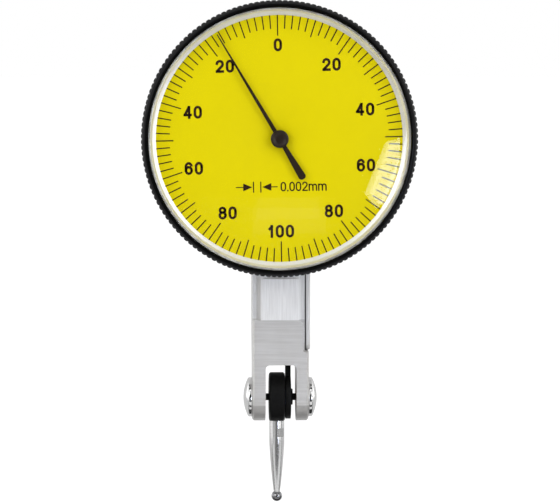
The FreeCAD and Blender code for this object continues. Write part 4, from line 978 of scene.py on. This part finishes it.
def make_knurl(sizes, tip, front, back):
    """The teeth of the rim, each a little sunk into it."""
    sunk = 0.06 * MM
    tooth = as_object("tooth", tooth_shape(TURN * tip / sizes.teeth, sizes.tooth_depth + sunk, front, back))
    geometry = Geometry("knurl")
    count = geometry.size("Teeth", "NodeSocketInt", sizes.teeth)
    radius = geometry.size("Radius", "NodeSocketFloat", tip)
    source = geometry.node("GeometryNodeObjectInfo", {}, {"Object": tooth}, output=4)
    ring = geometry.ring_of(count, radius, 0.0, 0.0, source)
    mesh = geometry.mesh(ring, black_bezel, "knurl")
    bpy.data.objects.remove(tooth)
    return mesh


class DialOperator(bpy.types.Operator):
    """Make the dial plate with its printed scale, and the light ring"""

    bl_idname = "indicator.dial"
    bl_label = "Dial"

    def execute(self, context):
        make_plate()
        make_light_ring()
        make_print(context.scene.dial_sizes)
        return {"FINISHED"}


def make_plate():
    """A thin disc with a hole for the pointer's arbor."""
    front, back, outer = DIAL_LOW.y, DIAL_HIGH.y, DIAL_HIGH.x
    hole = 1.0 * MM
    ease = 0.03 * MM
    corners = [(hole, front, ease), (outer, front, ease), (outer, back, ease), (hole, back, ease)]
    bm = lathe(rounded_profile(corners, 2), 180, "Y")
    mesh_piece("dial", outward_mesh(bm), dial_enamel, "bezel", ["dial_plate"])


def make_light_ring():
    """The silver ring between the dial and the crystal, with a flat and a steep slope."""
    front, back, outer = RING_LOW.y, RING_HIGH.y, RING_HIGH.x
    low, high = 17.86 * MM, 18.62 * MM
    foot = back - 0.05 * MM
    knee = high - 0.22 * MM
    knee_front = foot - 0.16 * MM
    corners = [
        (low, back, 0.0),
        (outer, back, 0.0),
        (outer, front, 0.0),
        (high, front, 0.05 * MM),
        (knee, knee_front, 0.14 * MM),
        (low, foot, 0.0),
    ]
    bm = lathe(rounded_profile(corners, 3), 240, "Y")
    silver = "light_ring_silver"
    mesh_piece(silver, outward_mesh(bm), ring_silver, "bezel", ["light_ring"])


def make_ticks(sizes, level, thickness):
    """The scale: a longer tick at every fifth and tenth division."""
    geometry = Geometry("scale")
    count = geometry.size("Divisions", "NodeSocketInt", sizes.divisions)
    lengths = {
        "Outer radius": sizes.tick_outer,
        "Short": sizes.tick_short,
        "Middle": sizes.tick_middle,
        "Long": sizes.tick_long,
        "Width": sizes.tick_width,
        "Turn": sizes.print_turn,
    }
    inputs = [geometry.size(name, "NodeSocketFloat", value) for name, value in lengths.items()]
    outer, short, middle, long, width, start = inputs
    index = geometry.node("GeometryNodeInputIndex")
    is_fifth = index % 5.0 < 0.5
    is_tenth = index % 10.0 < 0.5
    length = short * (1 - is_fifth) + middle * (is_fifth - is_tenth) + long * is_tenth
    bar = geometry.node("GeometryNodeMeshCube", {}, {"Size": (1.0, 1.0, 1.0)})
    scale = geometry.node("ShaderNodeCombineXYZ", {}, {0: width, 1: thickness, 2: length})
    ring = geometry.ring_of(count, outer - length * 0.5, level, start, bar, scale)
    return geometry.mesh(ring, dial_ink, "ticks")


def flat_shape(corners, level, thickness):
    """A flat printed shape from (x, z) corners."""
    bm = bmesh.new()
    face = bm.faces.new([bm.verts.new((x, level + thickness / 2, z)) for x, z in corners])
    lifted = bmesh.ops.extrude_face_region(bm, geom=[face])
    moved = [v for v in lifted["geom"] if isinstance(v, bmesh.types.BMVert)]
    bmesh.ops.translate(bm, verts=moved, vec=(0, -thickness, 0))
    return outward_mesh(bm)


def oval(x, y, wide, high, first, last, steps=16):
    """Points of an oval, its angles in degrees counter-clockwise from the right."""
    points = []
    for i in range(steps + 1):
        angle = math.radians(first + (last - first) * i / steps)
        points.append((x + wide * math.cos(angle), y + high * math.sin(angle)))
    return points


ARCH = oval(0.25, 0.48, 0.25, 0.24, 180, 0)

# The middle lines of each figure's strokes, in a box one wide and one high
FIGURES = {
    "0": [oval(0.5, 0.66, 0.5, 0.34, 0, 180) + oval(0.5, 0.34, 0.5, 0.34, 180, 360) + [(1.0, 0.66)]],
    "1": [[(0.75, 0.0), (0.75, 1.0)], [(0.75, 0.93), (0.1, 0.74)]],
    "2": [oval(0.5, 0.71, 0.5, 0.29, 170, -35) + [(0.12, 0.09)], [(0.0, 0.0), (1.0, 0.0)]],
    "4": [[(0.76, 0.0), (0.76, 1.0)], [(0.7, 0.98), (0.03, 0.27)], [(0.0, 0.25), (1.0, 0.25)]],
    "6": [oval(0.5, 0.31, 0.5, 0.31, 0, 360, 28), [(0.0, 0.32)] + oval(0.5, 0.66, 0.5, 0.34, 180, 25)],
    "8": [oval(0.5, 0.77, 0.44, 0.23, 0, 360, 28), oval(0.5, 0.28, 0.5, 0.28, 0, 360, 28)],
    "m": [[(0.0, 0.0), (0.0, 0.72)], ARCH + [(0.5, 0.0)], [(x + 0.5, y) for x, y in ARCH] + [(1.0, 0.0)]],
    ".": [[(0.5, 0.0), (0.5, 0.02)]],
}

# Widths as shares of the width of a nought
FIGURE_WIDTHS = {"1": 0.7, ".": 0.26, "m": 1.55}


def ribbon(points, width, level, thickness):
    """A flat band along a line of (x, z) points, its ends half a width beyond the line."""
    line = [Vector(point) for point in points]
    line[0] = line[0] + (line[0] - line[1]).normalized() * width / 2
    line[-1] = line[-1] + (line[-1] - line[-2]).normalized() * width / 2
    front, back = level - thickness / 2, level + thickness / 2
    bm = bmesh.new()
    rows = []
    for i, here in enumerate(line):
        before = (here - line[max(i - 1, 0)]).normalized()
        after = (line[min(i + 1, len(line) - 1)] - here).normalized()
        along = (before + after).normalized()
        side = Vector((-along.y, along.x)) * width / 2
        left, right = here + side, here - side
        corners = [(left, front), (right, front), (right, back), (left, back)]
        rows.append([bm.verts.new((place.x, y, place.y)) for place, y in corners])
    for low, high in zip(rows, rows[1:]):
        for i in range(4):
            bm.faces.new([low[i], low[(i + 1) % 4], high[(i + 1) % 4], high[i]])
    bm.faces.new(rows[0])
    bm.faces.new(rows[-1])
    return outward_mesh(bm)


def printed_words(words, centre, height, width, gap, stroke, level, thickness):
    """Bold figures about a centre, from the height, the width of a figure, the gap and the stroke."""
    widths = [width * FIGURE_WIDTHS.get(figure, 1.0) for figure in words]
    left = centre[0] - (sum(widths) + gap * (len(words) - 1)) / 2 + stroke / 2
    bottom = centre[1] - height / 2 + stroke / 2
    meshes = []
    for figure, across in zip(words, widths):
        for line in FIGURES[figure]:
            placed = [(left + x * (across - stroke), bottom + y * (height - stroke)) for x, y in line]
            meshes.append(ribbon(placed, stroke, level, thickness))
        left += across + gap
    return meshes


def make_numbers(sizes, level, thickness):
    """A number at each twentieth division, from the nought at the top down both sides to one hundred."""
    meshes = []
    height = sizes.number_height
    width, gap, stroke = 1.2 * MM, 0.26 * MM, 0.375 * MM
    step = math.radians(36.0)
    end_radii = {0: 13.55 * MM, 100: 13.4 * MM}
    for value in range(0, 101, 20):
        angle = value / 20 * step
        radius = end_radii.get(value, sizes.number_radius)
        for side in (-1,) if value in end_radii else (-1, 1):
            centre = (side * radius * math.sin(angle), radius * math.cos(angle))
            meshes += printed_words(str(value), centre, height, width, gap, stroke, level, thickness)
    return meshes


def make_unit_mark(level, thickness):
    """Two arrows that meet two bars, and the value of a division."""
    z = -6.94 * MM
    line, bar, head = 0.07 * MM, 0.79 * MM, 0.56 * MM
    strips = [(-6.45, -5.2, line), (-3.96, -3.79, bar), (-2.91, -2.74, bar), (-1.4, -0.38, line)]
    heads = [(-5.37, -4.05), (-1.3, -2.62)]
    shapes = []
    for left, right, half in strips:
        x0, x1 = left * MM, right * MM
        shapes.append([(x0, z - half), (x1, z - half), (x1, z + half), (x0, z + half)])
    for back, tip in heads:
        shapes.append([(back * MM, z - head), (tip * MM, z), (back * MM, z + head)])
    meshes = [flat_shape(shape, level, thickness) for shape in shapes]
    height, width, gap, stroke = 1.38 * MM, 0.81 * MM, 0.12 * MM, 0.2 * MM
    return meshes + printed_words("0.002mm", (3.38 * MM, z), height, width, gap, stroke, level, thickness)


def make_print(sizes):
    """All that is printed on the dial, turned with the bezel."""
    thickness = 0.012 * MM
    level = DIAL_LOW.y - thickness * 0.5
    words = joined(make_numbers(sizes, level, thickness) + make_unit_mark(level, thickness))
    words.transform(Matrix.Rotation(sizes.print_turn, 4, "Y"))
    ticks = make_ticks(sizes, level, thickness)
    mesh_piece("scale_print", joined([words, ticks]), dial_ink, "bezel")


class CrystalOperator(bpy.types.Operator):
    """Make the domed crystal"""

    bl_idname = "indicator.crystal"
    bl_label = "Crystal"

    def execute(self, context):
        make_crystal()
        return {"FINISHED"}


def dome_points(apex, reach, edge, steps=26):
    """Points of a dome from its apex on the axis to its edge."""
    radius = dome_radius(reach, edge - apex)
    points = []
    for i in range(steps + 1):
        r = reach * i / steps
        points.append((r, apex + radius - math.sqrt(radius * radius - r * r)))
    return points


def make_crystal():
    """A domed shell with a straight rim and a rounded shoulder."""
    outer, back, apex = CRYSTAL_HIGH.x, CRYSTAL_HIGH.y, CRYSTAL_LOW.y
    chamfer, wall_thick, thick = 0.3 * MM, 1.0 * MM, 0.9 * MM
    edge = back - 0.75 * MM
    shoulder, top = outer - chamfer, edge - chamfer
    inner = outer - wall_thick
    profile = dome_points(apex, shoulder, top)
    profile += [(shoulder + 0.2 * MM, top + 0.08 * MM), (outer, edge), (outer, back)]
    profile += reversed(dome_points(apex + thick, inner, back))
    bm = lathe(profile, 180, "Y", closed=False)
    mesh_piece("crystal_dome", outward_mesh(bm), clear_crystal, "bezel", ["crystal"], 60.0)


class PointerOperator(bpy.types.Operator):
    """Make the pointer and its hub"""

    bl_idname = "indicator.pointer"
    bl_label = "Pointer"

    def execute(self, context):
        refined_copy("pointer_blade", "needle", pointer_lacquer, "pointer", 0.03 * MM)
        make_hub_cap()
        return {"FINISHED"}


def make_hub_cap():
    """The pointer's hub, its face dished within a raised ring."""
    radius, front, back = POINTER_HUB_HIGH.x, POINTER_HUB_LOW.y, POINTER_HUB_HIGH.y
    seat = BLADE_LOW.y
    tube = 0.68 * MM
    dish, dish_depth = 0.62 * MM, 0.16 * MM
    ring_slope, ring_drop = 0.3 * MM, 0.12 * MM
    corners = [
        (0.0, front + dish_depth, 0.0),
        (dish, front + dish_depth, 0.2 * MM),
        (radius - ring_slope, front, 0.08 * MM),
        (radius, front + ring_drop, 0.06 * MM),
        (radius, seat, 0.03 * MM),
        (tube, seat, 0.0),
        (tube, back, 0.05 * MM),
        (0.0, back, 0.0),
    ]
    cap = outward_mesh(lathe(rounded_profile(corners, 3), 64, "Y", closed=False))
    mesh_piece("pointer_cap", cap, pointer_lacquer, "pointer", ["pointer_hub"], 40.0)


class StylusOperator(bpy.types.Operator):
    """Make the stylus, its hub, its ball and the lever"""

    bl_idname = "indicator.stylus"
    bl_label = "Stylus"

    def execute(self, context):
        refined_copy("stylus_hub", "hub_drum", black_steel, "stylus", 0.06 * MM)
        refined_copy("lever_arm", "lever", black_steel, "lever", 0.05 * MM)
        make_shank()
        make_ball()
        return {"FINISHED"}


def make_shank():
    """The tapered shank with two spanner flats."""
    middle = Vector(((SHANK_LOW.x + SHANK_HIGH.x) / 2, PIVOT.y, 0.0))
    stem, root, neck = 0.58 * MM, 1.11 * MM, 0.46 * MM
    swell = 0.07 * MM
    ease = 0.05 * MM
    top, low = SHANK_HIGH.z, SHANK_LOW.z
    seat = PIVOT.z - 3.45 * MM
    flat_top = PIVOT.z - 4.6 * MM
    flat_bottom = flat_top - 1.25 * MM
    flat_depth = 0.24 * MM
    flat_turn = math.radians(42.0)
    taper = PIVOT.z - 6.85 * MM
    profile = [(0.0, top), (stem, top), (stem, seat), (root - ease, seat), (root, seat - ease)]
    step = 0.02 * MM
    heights = [flat_top + step, flat_top, flat_top - step]
    heights += [flat_top + (flat_bottom - flat_top) * i / 6 for i in range(1, 6)]
    heights += [flat_bottom + step, flat_bottom, flat_bottom - step]
    profile += [(root, height) for height in heights]
    steps = 24
    for i in range(steps + 1):
        t = i / steps
        profile.append((root + (neck - root) * t + swell * 4 * t * (1 - t), taper + (low - taper) * t))
    profile.append((0.0, low))
    bm = lathe(profile, 96, "Z", middle, closed=False)
    normal = Vector((math.sin(flat_turn), -math.cos(flat_turn), 0.0))
    limit = root - flat_depth
    slack = 1e-7
    for vert in bm.verts:
        if flat_bottom - slack <= vert.co.z <= flat_top + slack:
            away = Vector((vert.co.x, vert.co.y, 0.0)) - middle
            reach = away.dot(normal)
            if abs(reach) > limit:
                vert.co -= normal * (reach - math.copysign(limit, reach))
    mesh_piece("shank", outward_mesh(bm), turned_chrome, "stylus", ["stylus_shank"], 30.0)


def make_ball():
    radius = (BALL_HIGH.x - BALL_LOW.x) / 2
    bm = bmesh.new()
    bmesh.ops.create_icosphere(bm, subdivisions=5, radius=radius)
    bmesh.ops.translate(bm, verts=bm.verts, vec=(BALL_LOW + BALL_HIGH) / 2)
    mesh_piece("ball", outward_mesh(bm), ball_metal, "stylus", ["contact_ball"], 80.0)


class IndicatorPanel(bpy.types.Panel):
    """The indicator's steps and sizes"""

    bl_idname = "VIEW3D_PT_indicator"
    bl_label = "Dial test indicator"
    bl_space_type = "VIEW_3D"
    bl_region_type = "UI"
    bl_category = "Indicator"

    def draw(self, context):
        layout = self.layout
        for operator in OPERATORS:
            layout.operator(operator.bl_idname)
        for group in ("dial_sizes", "bezel_sizes", "metal_colors"):
            box = layout.box()
            owner = getattr(context.scene, group)
            for name in owner.bl_rna.properties.keys():
                if name not in {"rna_type", "name"}:
                    box.prop(owner, name)


OPERATORS = [
    StageOperator,
    MovementOperator,
    CaseOperator,
    CapOperator,
    BezelOperator,
    DialOperator,
    CrystalOperator,
    PointerOperator,
    StylusOperator,
]
GROUPS = {"dial_sizes": DialSizes, "bezel_sizes": BezelSizes, "metal_colors": MetalColors}


def register():
    for group in GROUPS.values():
        bpy.utils.register_class(group)
    for name, group in GROUPS.items():
        setattr(bpy.types.Scene, name, PointerProperty(type=group))
    for operator in OPERATORS:
        bpy.utils.register_class(operator)
    bpy.utils.register_class(IndicatorPanel)


def unregister():
    bpy.utils.unregister_class(IndicatorPanel)
    for operator in reversed(OPERATORS):
        bpy.utils.unregister_class(operator)
    for name, group in GROUPS.items():
        delattr(bpy.types.Scene, name)
        bpy.utils.unregister_class(group)


def main():
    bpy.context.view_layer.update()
    register()
    bpy.ops.indicator.stage()
    bpy.ops.indicator.movement()
    bpy.ops.indicator.case()
    bpy.ops.indicator.caps()
    bpy.ops.indicator.bezel()
    bpy.ops.indicator.dial()
    bpy.ops.indicator.crystal()
    bpy.ops.indicator.pointer()
    bpy.ops.indicator.stylus()


if __name__ == "__main__":
    main()
